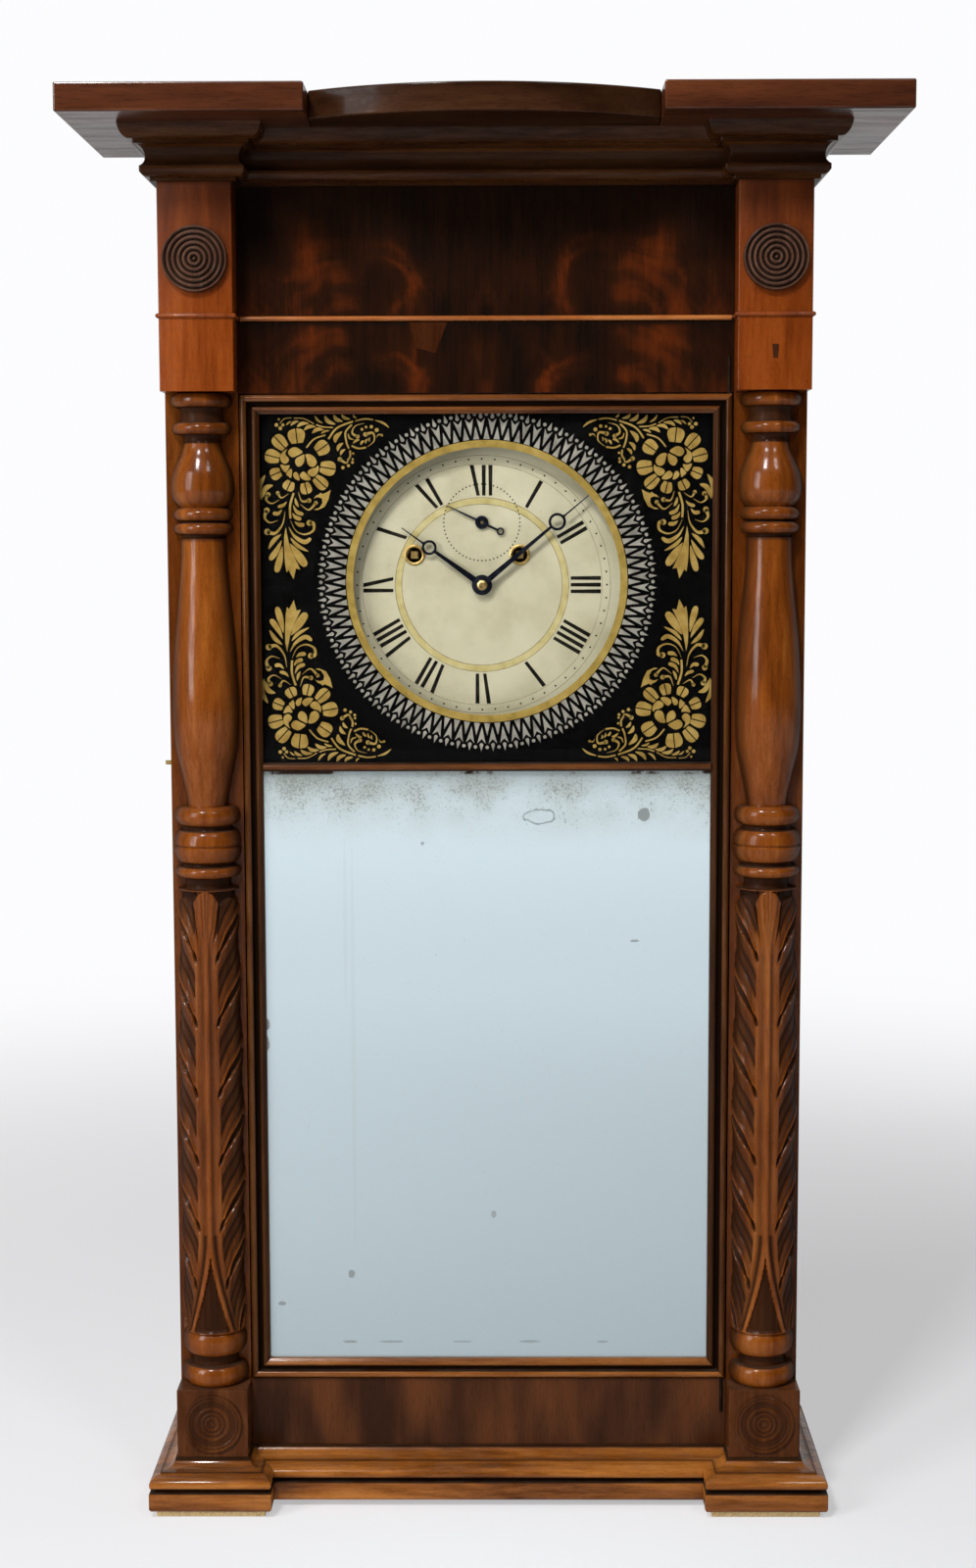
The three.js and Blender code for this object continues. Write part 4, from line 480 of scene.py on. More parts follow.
bpy.ops.object.select_all(action="DESELECT")
bpy.ops.mesh.primitive_cylinder_add(
    vertices=40, radius=1, depth=2 * BEAD_HALF * MM, rotation=(0, math.pi / 2, 0)
)
frieze_bead = just_made("frieze_bead")
bpy.ops.object.transform_apply()
open_mesh()
bpy.ops.transform.resize(value=(1, 2.0 * MM, 1.75 * MM), center_override=(0, 0, 0))
bpy.ops.transform.translate(value=(0, STILE_FRONT * MM, (BEAD_BOTTOM + BEAD_TOP) / 2 * MM))
bead_back = (0, (STILE_FRONT - 0.01) * MM, 0)
bpy.ops.mesh.bisect(plane_co=bead_back, plane_no=(0, 1, 0), use_fill=True, clear_outer=True)
bpy.ops.object.mode_set(mode="OBJECT")
smooth_faces(40)
fit_piece(frieze_bead, bead_lit_finish, "frieze_board")

PATCH_CORNERS = {
    (False, True): (-53.5, 842.6), (True, True): (-26.5, 842.6),
    (False, False): (-48.0, 825.0), (True, False): (-35.0, 821.5),
}
bpy.ops.object.select_all(action="DESELECT")
bpy.ops.mesh.primitive_plane_add(size=1, location=(0, 0, 0), rotation=(math.pi / 2, 0, 0))
patch = just_made("frieze_patch")
bpy.ops.object.transform_apply()
for corner in patch.data.vertices:
    across, up = PATCH_CORNERS[(corner.co.x > 0, corner.co.z > 0)]
    corner.co = (across * MM, (STILE_FRONT - 0.02) * MM, up * MM)
open_mesh()
bpy.ops.mesh.extrude_region_move(TRANSFORM_OT_translate={"value": (0, -0.18 * MM, 0)})
close_mesh()
round_edges(patch, 0.12)
fit_piece(patch, patch_wood)

low = (-BETWEEN_STILES, STILE_FRONT, PLINTH_TOP)
bottom_rail = board("bottom_rail_face", low, (BETWEEN_STILES, STILE_BACK, LOWER_BLOCK_TOP), 0.3)
set_grain_and_shade(bottom_rail, 80, clouded_at)
fit_piece(bottom_rail, rail_veneer, "bottom_rail")


# Bed mouldings: mahogany strips run with a fillet, cove and quarter round, mitred round each corner
# block and along the frieze, and glued under the cornice.
CASE_HALF = 223.2
OPENING_HALF = 172.3
BLOCK_FRONT = -34.5
BED_PROUD = 23


def curve_between(points, steps):
    found = []
    for step in range(1, steps + 1):
        share = step / steps
        level = [Vector(point) for point in points]
        while len(level) > 1:
            level = [low.lerp(high, share) for low, high in zip(level, level[1:])]
        found.append(tuple(level[0]))
    return found


# Writes the per-vertex darkening that the wood finishes read: mostly painted shade, with some real dirt and
# wear.
def set_shade_and_dirt(piece, amount_at):
    values = [amount_at(point.co / MM) for point in piece.data.vertices]
    piece.data.attributes.new("shade_and_dirt", "FLOAT", "POINT").data.foreach_set("value", values)


def shade_in_bands(levels):
    return lambda at: max([amount for low, high, amount in levels if low <= at.z <= high] + [0.0])


def moulded_stack(name, low, high, steps, proud_side, proud_front, corner=0.8):
    middle = (low[0] + high[0]) / 2
    half = (high[0] - low[0]) / 2
    deep = high[1] - low[1]
    bpy.ops.object.select_all(action="DESELECT")
    bpy.ops.mesh.primitive_plane_add(size=1, location=(0, 0, 0))
    piece = just_made(name)
    wide = half + steps[0][0] * proud_side
    long = deep + steps[0][0] * proud_front
    for point in piece.data.vertices:
        across = wide if point.co.x > 0 else -wide
        ahead = 0.0 if point.co.y > 0 else -long
        point.co = ((middle + across) * MM, (high[1] + ahead) * MM, steps[0][1] * MM)
        point.select = ahead < 0
    bpy.ops.object.mode_set(mode="EDIT")
    bpy.ops.mesh.select_mode(type="VERT")
    if corner:
        bpy.ops.mesh.bevel(offset=corner * MM, segments=3, affect="VERTICES")
    bpy.ops.mesh.select_all(action="SELECT")
    for (_, z_before), (share, z_now) in zip(steps, steps[1:]):
        rise = (0, 0, (z_now - z_before) * MM)
        bpy.ops.mesh.extrude_region_move(TRANSFORM_OT_translate={"value": rise})
        new_wide = half + share * proud_side
        new_long = deep + share * proud_front
        growth = (new_wide / wide, new_long / long, 1)
        bpy.ops.transform.resize(value=growth, center_override=(middle * MM, high[1] * MM, 0))
        wide = new_wide
        long = new_long
    bpy.ops.mesh.select_all(action="SELECT")
    bpy.ops.mesh.remove_doubles(threshold=1e-6)
    close_mesh()
    smooth_faces(32)
    return piece


def take_up(piece):
    bpy.ops.object.select_all(action="DESELECT")
    piece.select_set(True)
    bpy.context.view_layer.objects.active = piece


def mirrored_copy(piece, name):
    take_up(piece)
    bpy.ops.object.duplicate()
    twin = just_made(name)
    bpy.ops.transform.mirror(
        orient_type="GLOBAL", constraint_axis=(True, False, False), center_override=(0, 0, 0)
    )
    bpy.ops.object.transform_apply()
    open_mesh()
    close_mesh()
    return twin


def fit_pair(right, material, node, body="case"):
    left = mirrored_copy(right, right.name.replace("right", "left"))
    fit_piece(left, material, node.replace("right", "left"), body.replace("right", "left"))
    fit_piece(right, material, node, body)


def cut_away(piece, cutter):
    bpy.context.view_layer.objects.active = piece
    bpy.ops.object.modifier_add(type="BOOLEAN")
    piece.modifiers[-1].object = cutter
    piece.modifiers[-1].operation = "DIFFERENCE"
    bpy.ops.object.modifier_apply(modifier=piece.modifiers[-1].name)
    bpy.data.objects.remove(cutter)


# Painted shade: the bed mouldings' tone is darkened to stand in for the shade under the cornice.
BED_SHADED_TONES = ((0.0165, 0.005, 0.0011), (0.038, 0.0115, 0.0025), (0.065, 0.022, 0.0058))
bed_shaded_finish = wood_finish(
    "bed_moulding_shaded_wood", BED_SHADED_TONES, 0, shift=(0.1, 0.5, 0.2), rough=0.26, coat=0.2, shine=0.06, with_shade_and_dirt=True
)
BED_STEPS = [(0.17, 934.7), (0.17, 937.1)]
BED_STEPS += curve_between([(0.17, 937.1), (0.36, 937.1), (0.44, 940.7)], 6)
BED_STEPS += [(0.44, 944.1)]
BED_STEPS += curve_between([(0.44, 944.1), (0.18, 947.65), (0.26, 956.27), (0.5, 958.3)], 14)
BED_STEPS += [(0.6, 958.4), (0.6, 961.0), (0.74, 961.1)]
BED_STEPS += curve_between([(0.74, 961.1), (0.95, 963.02), (1.0, 971.1)], 10)
# Painted shade in the lower fillet, the cove and the upper fillet of the moulding.
bed_recess_shade = shade_in_bands(((934.0, 937.0, 0.5), (944.5, 956.5, 0.55), (958.35, 960.9, 0.5)))
block_corner = (OPENING_HALF, BLOCK_FRONT)
back_corner = (CASE_HALF, CASE_BACK)
right_bed = moulded_stack("right_bed", block_corner, back_corner, BED_STEPS, BED_PROUD, BED_PROUD)
# The moulding goes round the case, so the case's own room is cut out of it.
inside_middle = (0.1117, 0.044, 0.95)
inside_size = (0.2234, 0.105, 0.1)
bpy.ops.object.select_all(action="DESELECT")
bpy.ops.mesh.primitive_cube_add(size=1, location=inside_middle, scale=inside_size)
cut_away(right_bed, bpy.context.object)
set_shade_and_dirt(right_bed, bed_recess_shade)
fit_pair(right_bed, bed_shaded_finish, "right_bed_moulding")
low = (-BETWEEN_STILES, STILE_FRONT)
high = (BETWEEN_STILES, STILE_FRONT + 0.001)
centre_bed = moulded_stack("centre_bed", low, high, BED_STEPS, -BED_PROUD, BED_PROUD, corner=0)
set_shade_and_dirt(centre_bed, bed_recess_shade)
fit_piece(centre_bed, bed_shaded_finish, "centre_bed_moulding")


# Cornice: thick mahogany boards with eased edges, the middle one sawn to a bow and set back
# between the two outer ones. They lie on the bed mouldings and the top of the case.
SLAB_TOP = 990.0
SLAB_EDGE = 1.2


def linked_piece(name, data):
    piece = bpy.data.objects.new(name, data)
    bpy.context.scene.collection.objects.link(piece)
    take_up(piece)
    return piece


def flat_piece(name, outlines, depth):
    curve = bpy.data.curves.new(name, "CURVE")
    curve.dimensions = "2D"
    curve.fill_mode = "BOTH"
    curve.extrude = depth / 2 * MM
    for outline in outlines:
        spline = curve.splines.new("POLY")
        spline.points.add(len(outline) - 1)
        spline.use_cyclic_u = True
        for point, (across, up) in zip(spline.points, outline):
            point.co = (across * MM, up * MM, 0, 1)
    linked_piece(name, curve)
    bpy.ops.object.convert(target="MESH")
    piece = just_made(name)
    open_mesh()
    bpy.ops.mesh.remove_doubles(threshold=1e-6)
    bpy.ops.mesh.dissolve_limited(angle_limit=math.radians(1))
    close_mesh()
    return piece


def moved(piece, place, turn=(0, 0, 0)):
    piece.rotation_euler = [math.radians(angle) for angle in turn]
    piece.location = Vector(place) * MM
    take_up(piece)
    bpy.ops.object.transform_apply()
    return piece


def arc(middle, wide, tall, start, end, steps):
    turns = [math.radians(start + (end - start) * step / steps) for step in range(steps + 1)]
    return [(middle[0] + wide * math.sin(turn), middle[1] + tall * math.cos(turn)) for turn in turns]


DARK_WOOD = ((0.028, 0.008, 0.004), (0.066, 0.018, 0.0065), (0.11, 0.031, 0.01))
# Painted shade: the bow slab is a darker copy of the cornice veneer, for the set-back bow in deeper shadow.
BOW_SHADED_TONES = ((0.014, 0.0048, 0.0018), (0.03, 0.0105, 0.004), (0.052, 0.02, 0.008))
slab_finish = {"scale": 16.0, "rough": 0.3, "dust": 0.5, "with_shade_and_dirt": True}
cornice_wood = wood_finish(
    "cornice_veneer", DARK_WOOD, 0, shift=(0.3, 0.2, 0.9), coat=0.7, shine=0.05, **slab_finish
)
bow_shaded_finish = wood_finish("bow_shaded_veneer", BOW_SHADED_TONES, 0, shift=(0.5, 0.3, 0.1), coat=0.12, shine=0.04, **slab_finish)


# Painted shade on the slabs' undersides, which also lose a little polish there.
def slab_underside_shade(at):
    return 0.12 if at.z < SLAB_BOTTOM + 0.3 else 0.0


right_slab = board("right_slab", (117.7, -95, SLAB_BOTTOM), (280.9, CASE_BACK, SLAB_TOP), SLAB_EDGE)
set_shade_and_dirt(right_slab, slab_underside_shade)
fit_pair(right_slab, cornice_wood, "cornice_right_slab")
bow_half = 117.5
bow_rise = 32.4
bow_radius = (bow_half ** 2 + bow_rise ** 2) / (2 * bow_rise)
bow_turn = math.degrees(math.asin(bow_half / bow_radius))
bow_middle = -93 + bow_radius
bow_outline = [(bow_half, CASE_BACK), (-bow_half, CASE_BACK)]
bow_outline += arc((0, bow_middle), bow_radius, -bow_radius, -bow_turn, bow_turn, 48)
centre_slab = flat_piece("centre_slab", [bow_outline], SLAB_TOP - SLAB_BOTTOM)
moved(centre_slab, (0, 0, (SLAB_BOTTOM + SLAB_TOP) / 2))
round_edges(centre_slab, SLAB_EDGE)
smooth_faces(14)
set_shade_and_dirt(centre_slab, slab_underside_shade)
fit_piece(centre_slab, bow_shaded_finish, "cornice_centre_slab")


# Corner blocks: mahogany blocks over the columns with a half-round bead worked round them,
# glued to the stiles. The right one has a dark plug in an old hole.
UPPER_BLOCK_TOP = 934.7
BLOCK_WOOD = ((0.1, 0.018, 0.0015), (0.17, 0.032, 0.0028), (0.23, 0.05, 0.006))
PLUG_WOOD = ((0.02, 0.006, 0.002), (0.035, 0.011, 0.004), (0.055, 0.018, 0.007))
block_wood = wood_finish("block_polished_wood", BLOCK_WOOD, 2, shift=(0.9, 0.3, 0.2), with_shade_and_dirt=True)
plug_wood = wood_finish("plug_dark_wood", PLUG_WOOD, 2, coat=0.1, shine=0.05)
bead_half = (BEAD_TOP - BEAD_BOTTOM) / 2
BLOCK_STEPS = [(0.0, COLUMN_TOP + 0.4), (0.0, BEAD_BOTTOM)]
BLOCK_STEPS += arc((0, BEAD_BOTTOM + bead_half), 1, bead_half, 180, 0, 12)
BLOCK_STEPS += [(0.0, UPPER_BLOCK_TOP)]
right_block = moulded_stack("right_block", block_corner, (CASE_HALF, STILE_FRONT), BLOCK_STEPS, 2, 2)
# Painted shadow: the corner blocks darken towards the top, under the bed moulding.
set_shade_and_dirt(right_block, lambda at: 0.5 * ease(860, 934, at.z))
fit_pair(right_block, block_wood, "right_corner_block")
plug = flat_piece("block_plug", [[(196.5, 815.7), (199.8, 815.7), (200.2, 825.1), (195.8, 825.1)]], 0.4)
moved(plug, (0, BLOCK_FRONT, 0), (90, 0, 0))
round_edges(plug, 0.15, 2)
fit_piece(plug, plug_wood)


# Rosettes and bullseyes: discs turned with fine rings. The dark rosettes are glued to the corner blocks
# and the flatter bullseyes to the lower blocks.
BLOCK_MIDDLE = 197.75


def turned(name, profile, centre, steps, angle=360, axis="Z"):
    curve = bpy.data.curves.new(name, "CURVE")
    curve.dimensions = "3D"
    spline = curve.splines.new("POLY")
    spline.points.add(len(profile) - 1)
    for point, (radius, along) in zip(spline.points, profile):
        point.co = (radius * MM, 0, along * MM, 1)
    linked_piece(name, curve)
    bpy.ops.object.convert(target="MESH")
    piece = just_made(name)
    open_mesh()
    bpy.ops.mesh.spin(steps=steps, angle=math.radians(angle), center=(0, 0, 0), axis=(0, 0, 1))
    bpy.ops.mesh.select_all(action="SELECT")
    bpy.ops.mesh.remove_doubles(threshold=1e-6)
    close_mesh()
    smooth_faces(38)
    return moved(piece, centre, (90, 0, 0) if axis == "Y" else (0, 0, 0))


def ringed_profile(radius, relief, rings):
    points = [(0.0, relief)]
    steps = rings * 8
    for step in range(1, steps + 1):
        share = step / steps
        dip = 0.5 - 0.5 * math.cos(2 * math.pi * rings * share)
        points.append((radius * 0.97 * share, relief * (1 - 0.55 * dip)))
    return points + [(radius, relief * 0.55), (radius, 0.0), (0.0, 0.0)]


ROSETTE_WOOD = ((0.04, 0.0155, 0.009), (0.08, 0.035, 0.0205), (0.13, 0.062, 0.038))
rosette_wood = wood_finish("rosette_dark_wood", ROSETTE_WOOD, 2, rough=0.22, coat=1.0, with_shade_and_dirt=True)
rosette_at = (BLOCK_MIDDLE, BLOCK_FRONT, 883.2)
right_rosette = turned("right_rosette_disc", ringed_profile(22.5, 4.5, 6), rosette_at, 72, axis="Y")
# Painted shade in the troughs between the rosette's rings.
set_shade_and_dirt(right_rosette, lambda at: 0.9 * ease(4.2, 2.6, BLOCK_FRONT - at.y))
fit_pair(right_rosette, rosette_wood, "right_rosette")

LOWER_WOOD = ((0.042, 0.0115, 0.0026), (0.078, 0.0225, 0.0052), (0.125, 0.04, 0.0095))
lower_wood = wood_finish(
    "lower_block_wood", LOWER_WOOD, 2, shift=(0.2, 0.8, 0.5), coat=0.2, shine=0.05, with_shade_and_dirt=True
)
high = (CASE_HALF, STILE_FRONT, LOWER_BLOCK_TOP)
right_lower = board("right_lower", (OPENING_HALF, BLOCK_FRONT, PLINTH_TOP), high, 0.8)
set_shade_and_dirt(right_lower, lambda at: 0.0)
fit_pair(right_lower, lower_wood, "right_lower_block")
EYE_RIDGES = (
    (0.0, 1.3, 0.5), (4.4, 0.7, 0.6), (7.6, 0.5, 0.5), (11.4, 0.8, 0.7), (17.6, 0.45, 0.5), (20.4, 0.9, 0.7)
)
eye_profile = []
for step in range(85):
    radius = step / 4
    rise = 0
    for ridge, wide, height in EYE_RIDGES:
        rise += height * math.exp(-((radius - ridge) / (1.5 * wide)) ** 2)
    eye_profile.append((radius, 1.0 + rise))
eye_profile += [(21.0, 0.0), (0.0, 0.0)]
right_eye = turned("right_bullseye", eye_profile, (BLOCK_MIDDLE, BLOCK_FRONT, 62.1), 72, axis="Y")
# A slight darkening all over, and painted shade in the low parts between the bullseye's ridges.
set_shade_and_dirt(right_eye, lambda at: 0.1 + 0.45 * ease(1.5, 1.0, BLOCK_FRONT - at.y))
fit_pair(right_eye, lower_wood, "right_lower_block")


# Columns: each is half of a mahogany turning, with rings, a long swelled shaft above and an acanthus leaf
# carved over the shaft below, glued flat to its stile.
SHAFT_SWELL = (
    (0, 14.4), (0.02, 14.6), (0.136, 19.0), (0.217, 22.0), (0.36, 23.3), (0.49, 22.7), (0.62, 21.4),
    (0.78, 18.6), (0.907, 16.6), (1, 16.2),
)
BULB_SWELL = ((0, 16.6), (0.12, 20.7), (0.3, 22.2), (0.52, 21.1), (0.71, 18.0), (0.87, 14.7), (1, 13.0))
COLUMN_RINGS = (
    ("ring", 23.9, 15), ("neck", 17.0, 7.5), ("ring", 23.0, 17.5), ("leaf", (22.6, 23.5, 21.4), 321),
    ("neck", 16.5, 8), ("ring", 23.5, 8), ("neck", 18.5, 2.6), ("barrel", 23.9, 22.9), ("neck", 18.0, 3.5),
    ("ring", 23.2, 13), ("shaft", SHAFT_SWELL, 188), ("neck", 15.5, 2.7), ("ring", 20.9, 8.3),
    ("neck", 16.5, 1), ("ring", 20.9, 9), ("shaft", BULB_SWELL, 45), ("neck", 13.5, 5.5),
    ("ring", 20.9, 8.5), ("neck", 15.5, 10), ("ring", 21.5, 10),
)
LEAF_FOOT = 127.0
LEAF_TOP = 448.0
LEAF_ROUND = 22.9
LEAF_EYES = (441.0, 397.0, 351.0, 300.0, 251.0, 203.0, 160.0, 118.0)


def spline_through(knots, share):
    before = max(index for index in range(len(knots) - 1) if knots[index][0] <= share)
    first = knots[max(before - 1, 0)]
    low = knots[before]
    high = knots[before + 1]
    last = knots[min(before + 2, len(knots) - 1)]
    step = high[0] - low[0]
    part = (share - low[0]) / step
    slope_low = (high[1] - first[1]) / (high[0] - first[0]) * step
    slope_high = (last[1] - low[1]) / (last[0] - low[0]) * step
    cube = 2 * low[1] - 2 * high[1] + slope_low + slope_high
    square = -3 * low[1] + 3 * high[1] - 2 * slope_low - slope_high
    return ((cube * part + square) * part + slope_low) * part + low[1]


RING_TURN = math.radians(82)
column_profile = [(0.0, LOWER_BLOCK_TOP)]
neck_levels = []
level = LOWER_BLOCK_TOP
for form, size, height in COLUMN_RINGS:
    if form in ("ring", "barrel"):
        for step in range(21):
            turn = RING_TURN * (step / 10 - 1)
            radius = size - 4.6 * (1 - math.cos(turn))
            if form == "barrel" and step == 10:
                radius -= 1.3
            rise = height / 2 * (1 + math.sin(turn) / math.sin(RING_TURN))
            column_profile.append((radius, level + rise))
    elif form == "neck":
        neck_levels.append((level, level + height))
        for step in range(7):
            hollow = 0.7 * math.sin(math.pi * step / 6)
            column_profile.append((size - hollow, level + height * step / 6))
    else:
        knots = ((0, size[0]), (0.5, size[1]), (1, size[2])) if form == "leaf" else size
        steps = 400 if form == "leaf" else 64
        for step in range(steps + 1):
            radius = spline_through(knots, min(step / steps, 0.99999))
            column_profile.append((radius, level + height * step / steps))
    level += height
column_profile.append((0.0, level))


def leaf_depth(aside, z):
    spread = 15.0 * max((200.0 - z) / 70.0, 0.0) ** 1.7
    rib = abs(aside - spread)
    if aside < spread - 1.4:
        return 1.7 + 0.25 * math.cos(2 * math.pi * aside / 1.5)
    stem_edge = 8.2 + 0.75 * spread
    stem = 1.75 * ease(0.7, 3.4, rib) - 1.45 * ease(3.4, 7.6, rib)
    if z > 396:
        fan = math.atan2(aside, z - 390.0)
        top = 0.1 + 0.4 * (aside / 9.0) ** 2 + 0.6 * (0.5 - 0.5 * math.cos(2 * math.pi * fan / 0.11)) ** 2
        top += 0.7 * math.exp(-(aside / 0.6) ** 2)
        stem += (top - stem) * ease(398.0, 424.0, z)
    out = max(aside - stem_edge, 0.0)
    rise = 17.0 * (out / 12.7) ** 0.75
    lobe = 0
    while lobe < len(LEAF_EYES) - 1 and LEAF_EYES[lobe] + rise > z:
        lobe += 1
    low_cut = LEAF_EYES[lobe] + rise
    high_cut = LEAF_EYES[lobe - 1] + rise if lobe else low_cut + 46
    channel = 3.0 + 6.0 * ease(0.0, 9.0, out)
    up = z - low_cut
    if up < channel:
        depth = (2.4 + 1.2 * ease(0.0, 9.0, out)) * ease(0.0, 2.2, up) * (1 - ease(0.6, 1.0, up / channel))
    else:
        part = min((up - channel) / max(high_cut - low_cut - channel, 1.0), 1.0)
        veins = (0.5 - 0.5 * math.cos(2 * math.pi * 3.5 * part ** 0.85)) ** 2
        depth = 1.5 * math.sin(math.pi * part ** 1.15) + 0.8 * veins * (1 - 0.7 * part)
    depth = stem + (depth - stem) * ease(0.0, 1.6, out) if out < 1.6 else depth
    for eye in LEAF_EYES[1:-1]:
        slant = 0.28 * (z - eye - 3.5)
        near = ((aside - stem_edge - 0.9 - slant) / 1.7) ** 2 + ((z - eye - 3.5) / 5.5) ** 2
        if near < 1:
            depth += 2.4 * (1 - near)
    split = 11.2 - 0.2 * (436.0 - z)
    depth += 1.3 * math.exp(-((aside - split) / 0.8) ** 2) * ease(404.0, 420.0, z)
    crown = 446.4 - 9.0 * (aside / 10.8) ** 2.2
    if aside > 11.2:
        crown = 441.0 - 6.0 * ((aside - 23.0) / 11.8) ** 2
    if z > crown:
        depth += 2.3 * ease(0.0, 1.6, z - crown)
    return min(depth, 3.6)


def leaf_aside(at):
    return abs(math.atan2(at.x, -at.y)) * LEAF_ROUND


def in_leaf(z):
    return LEAF_FOOT + 0.4 < z < LEAF_TOP - 1.6


column_turning = turned("right_column_turning", column_profile, (0, 0, 0), 110, angle=180)
for point in column_turning.data.vertices:
    z = point.co.z / MM
    radius = math.hypot(point.co.x, point.co.y) / MM
    if in_leaf(z) and radius > 10:
        depth = leaf_depth(leaf_aside(point.co), z) * ease(LEAF_FOOT, LEAF_FOOT + 2.5, z)
        point.co.x *= (radius - depth) / radius
        point.co.y *= (radius - depth) / radius
take_up(column_turning)
bpy.ops.object.mode_set(mode="EDIT")
bpy.ops.mesh.select_mode(type="EDGE")
bpy.ops.mesh.select_all(action="DESELECT")
bpy.ops.mesh.select_non_manifold()
bpy.ops.mesh.edge_face_add()
close_mesh()
smooth_faces(42)


# Painted shade on the columns: darker on the flanks that turn away from the front, in the necks between the
# rings and in the carved hollows, darkest in the hollows near the foot of the leaf. The raised lips of the
# leaf stay lighter, where the polish is rubbed.
def column_shade_and_wear(at):
    side = 1 - ease(0.25, 0.97, -at.y / max(math.hypot(at.x, at.y), 0.1))
    amount = 0.85 * side
    if any(low - 0.7 < at.z < high + 0.5 for low, high in neck_levels):
        amount = 0.9
    if in_leaf(at.z):
        aside = leaf_aside(at)
        depth = leaf_depth(aside, at.z)
        wear_and_shade = (0.28 + 0.22 * ease(8.0, 13.0, aside)) * ease(0.0, 0.6, depth)
        hollow_shade = 0.97 if at.z < 200 else 0.5 + 0.47 * ease(6.0, 9.0, aside)
        amount = max(wear_and_shade + 0.45 * side, hollow_shade * ease(0.3, 1.9, depth))
    return amount


set_shade_and_dirt(column_turning, column_shade_and_wear)
moved(column_turning, (BLOCK_MIDDLE, STILE_FRONT, 0))
COLUMN_WOOD = ((0.095, 0.022, 0.0018), (0.175, 0.043, 0.0043), (0.26, 0.076, 0.01))
column_wood = wood_finish(
    "column_polished_wood", COLUMN_WOOD, 2, shift=(0.15, 0.6, 0.4),
    rough=0.3, coat=0.42, shine=0.07, with_shade_and_dirt=True
)
fit_pair(column_turning, column_wood, "right_column")


# Plinths and base moulding: mahogany run with a fillet, bead and cyma, mitred round the foot of the case.
# Pale pads under the plinths keep the clock off the shelf.
PLINTH_STEPS = [(0.95, 5.3), (1.0, 6.9), (1.0, 17.6), (0.97, 18.2), (0.78, 18.3), (0.78, 21.5), (0.95, 21.6)]
PLINTH_STEPS += curve_between([(0.95, 21.6), (1.04, 24.5), (0.98, 29.6), (0.6, 30.0)], 10)
PLINTH_STEPS += [(0.6, 31.2), (0.44, 31.3)]
PLINTH_STEPS += curve_between([(0.44, 31.3), (0.18, 31.8), (0.08, 36.0)], 8)
PLINTH_STEPS += [(0.08, 37.2)]
PLINTH_WOOD = ((0.075, 0.019, 0.002), (0.23, 0.07, 0.009), (0.4, 0.14, 0.022))
plinth_wood = wood_finish(
    "plinth_polished_wood", PLINTH_WOOD, 0, shift=(0.6, 0.1, 0.7),
    rough=0.22, coat=0.85, shine=0.06, with_shade_and_dirt=True
)
PLINTH_PROUD = 18.2
# Painted shade in the sunk groove, on the fillet between the ovolo and the cove, and at the top where the
# moulding meets the bottom rail.
plinth_groove_shade = shade_in_bands(((18.15, 21.65, 1.0), (30.05, 31.25, 0.8), (35.9, 37.3, 0.95)))
right_plinth = moulded_stack(
    "right_plinth_block", block_corner, back_corner, PLINTH_STEPS, PLINTH_PROUD, 20.9
)
set_shade_and_dirt(right_plinth, plinth_groove_shade)
fit_pair(right_plinth, plinth_wood, "right_plinth")
low = (-BETWEEN_STILES, STILE_FRONT)
high = (BETWEEN_STILES, STILE_BACK)
base = moulded_stack("base_strip", low, high, PLINTH_STEPS, -PLINTH_PROUD, 25.4, corner=0)
set_shade_and_dirt(base, plinth_groove_shade)
fit_piece(base, plinth_wood, "base_moulding")

pad_felt, tree, shader = start_material("pad_felt")
fibre = cloudy(tree, own_place(tree), 900.0, 4.0)
feed(tree, shader, {
    "Base Color": ramp(tree, fibre, (0.3, 0.7), ((0.55, 0.38, 0.16), (0.86, 0.67, 0.35))),
    "Roughness": 0.9,
    "Normal": bumped(tree, fibre, 0.4, 0.0004),
})
right_pad = board("right_pad", (159.1, -50.4, 0), (236.4, 90.0, 5.3), 0.6)
fit_pair(right_pad, pad_felt, "right_foot_pad")


# Door: a mitred mahogany frame with two beads run round it, and a half-round rail between its two glasses.
# It hangs on wire pins at its right edge.
DOOR_HALF = 171.4
DOOR_BOTTOM = 87.9
DOOR_TOP = 793.1
DOOR_FRONT = -12.1
MID_RAIL_Z = 532.8
CATCH_HOLE = (-169.4, 0, 535.8)
HINGE_X = 168.9
HINGE_Y = -9.1
frame_section = arc((2.5, 2.5), 2.5, 2.5, -90, -270, 12)
frame_section += [(5.0, 6.5), (8.2, 6.5)]
frame_section += arc((9.9, 3.9), 1.7, 1.7, -90, -270, 10)
frame_section += [(13.0, 5.0), (13.0, 7.5), (8.0, 7.5), (8.0, 18.0), (0.0, 18.0)]


def set_along(piece, basis, corner):
    piece.matrix_world = Matrix.Translation(Vector(corner) * MM) @ Matrix(basis).transposed().to_4x4()
    take_up(piece)
    bpy.ops.object.transform_apply()


def frame_bar(name, length, basis, corner):
    bar = flat_piece(name, [frame_section], length)
    mitre = length / 2 * MM - 0.0001
    bpy.ops.object.mode_set(mode="EDIT")
    for end in (1, -1):
        bpy.ops.mesh.select_all(action="SELECT")
        bpy.ops.mesh.bisect(
            plane_co=(0, 0, end * mitre), plane_no=(1, 0, end), use_fill=True, clear_outer=True
        )
    close_mesh()
    smooth_faces(35)
    set_along(bar, basis, corner)
    open_mesh()
    close_mesh()
    return bar


# Painted shade: black in the sunk flat between the two beads, and on the inner bead and edge darker on the
# uprights than on the rails, which catch more light from above.
def door_shade(at):
    aside = DOOR_HALF - abs(at.x)
    above = min(DOOR_TOP - at.z, at.z - DOOR_BOTTOM)
    if 4.6 < min(aside, above) < 8.4:
        return 1.0
    if min(aside, above) < 8.4:
        return 0.0
    return 0.5 if aside < above else 0.15


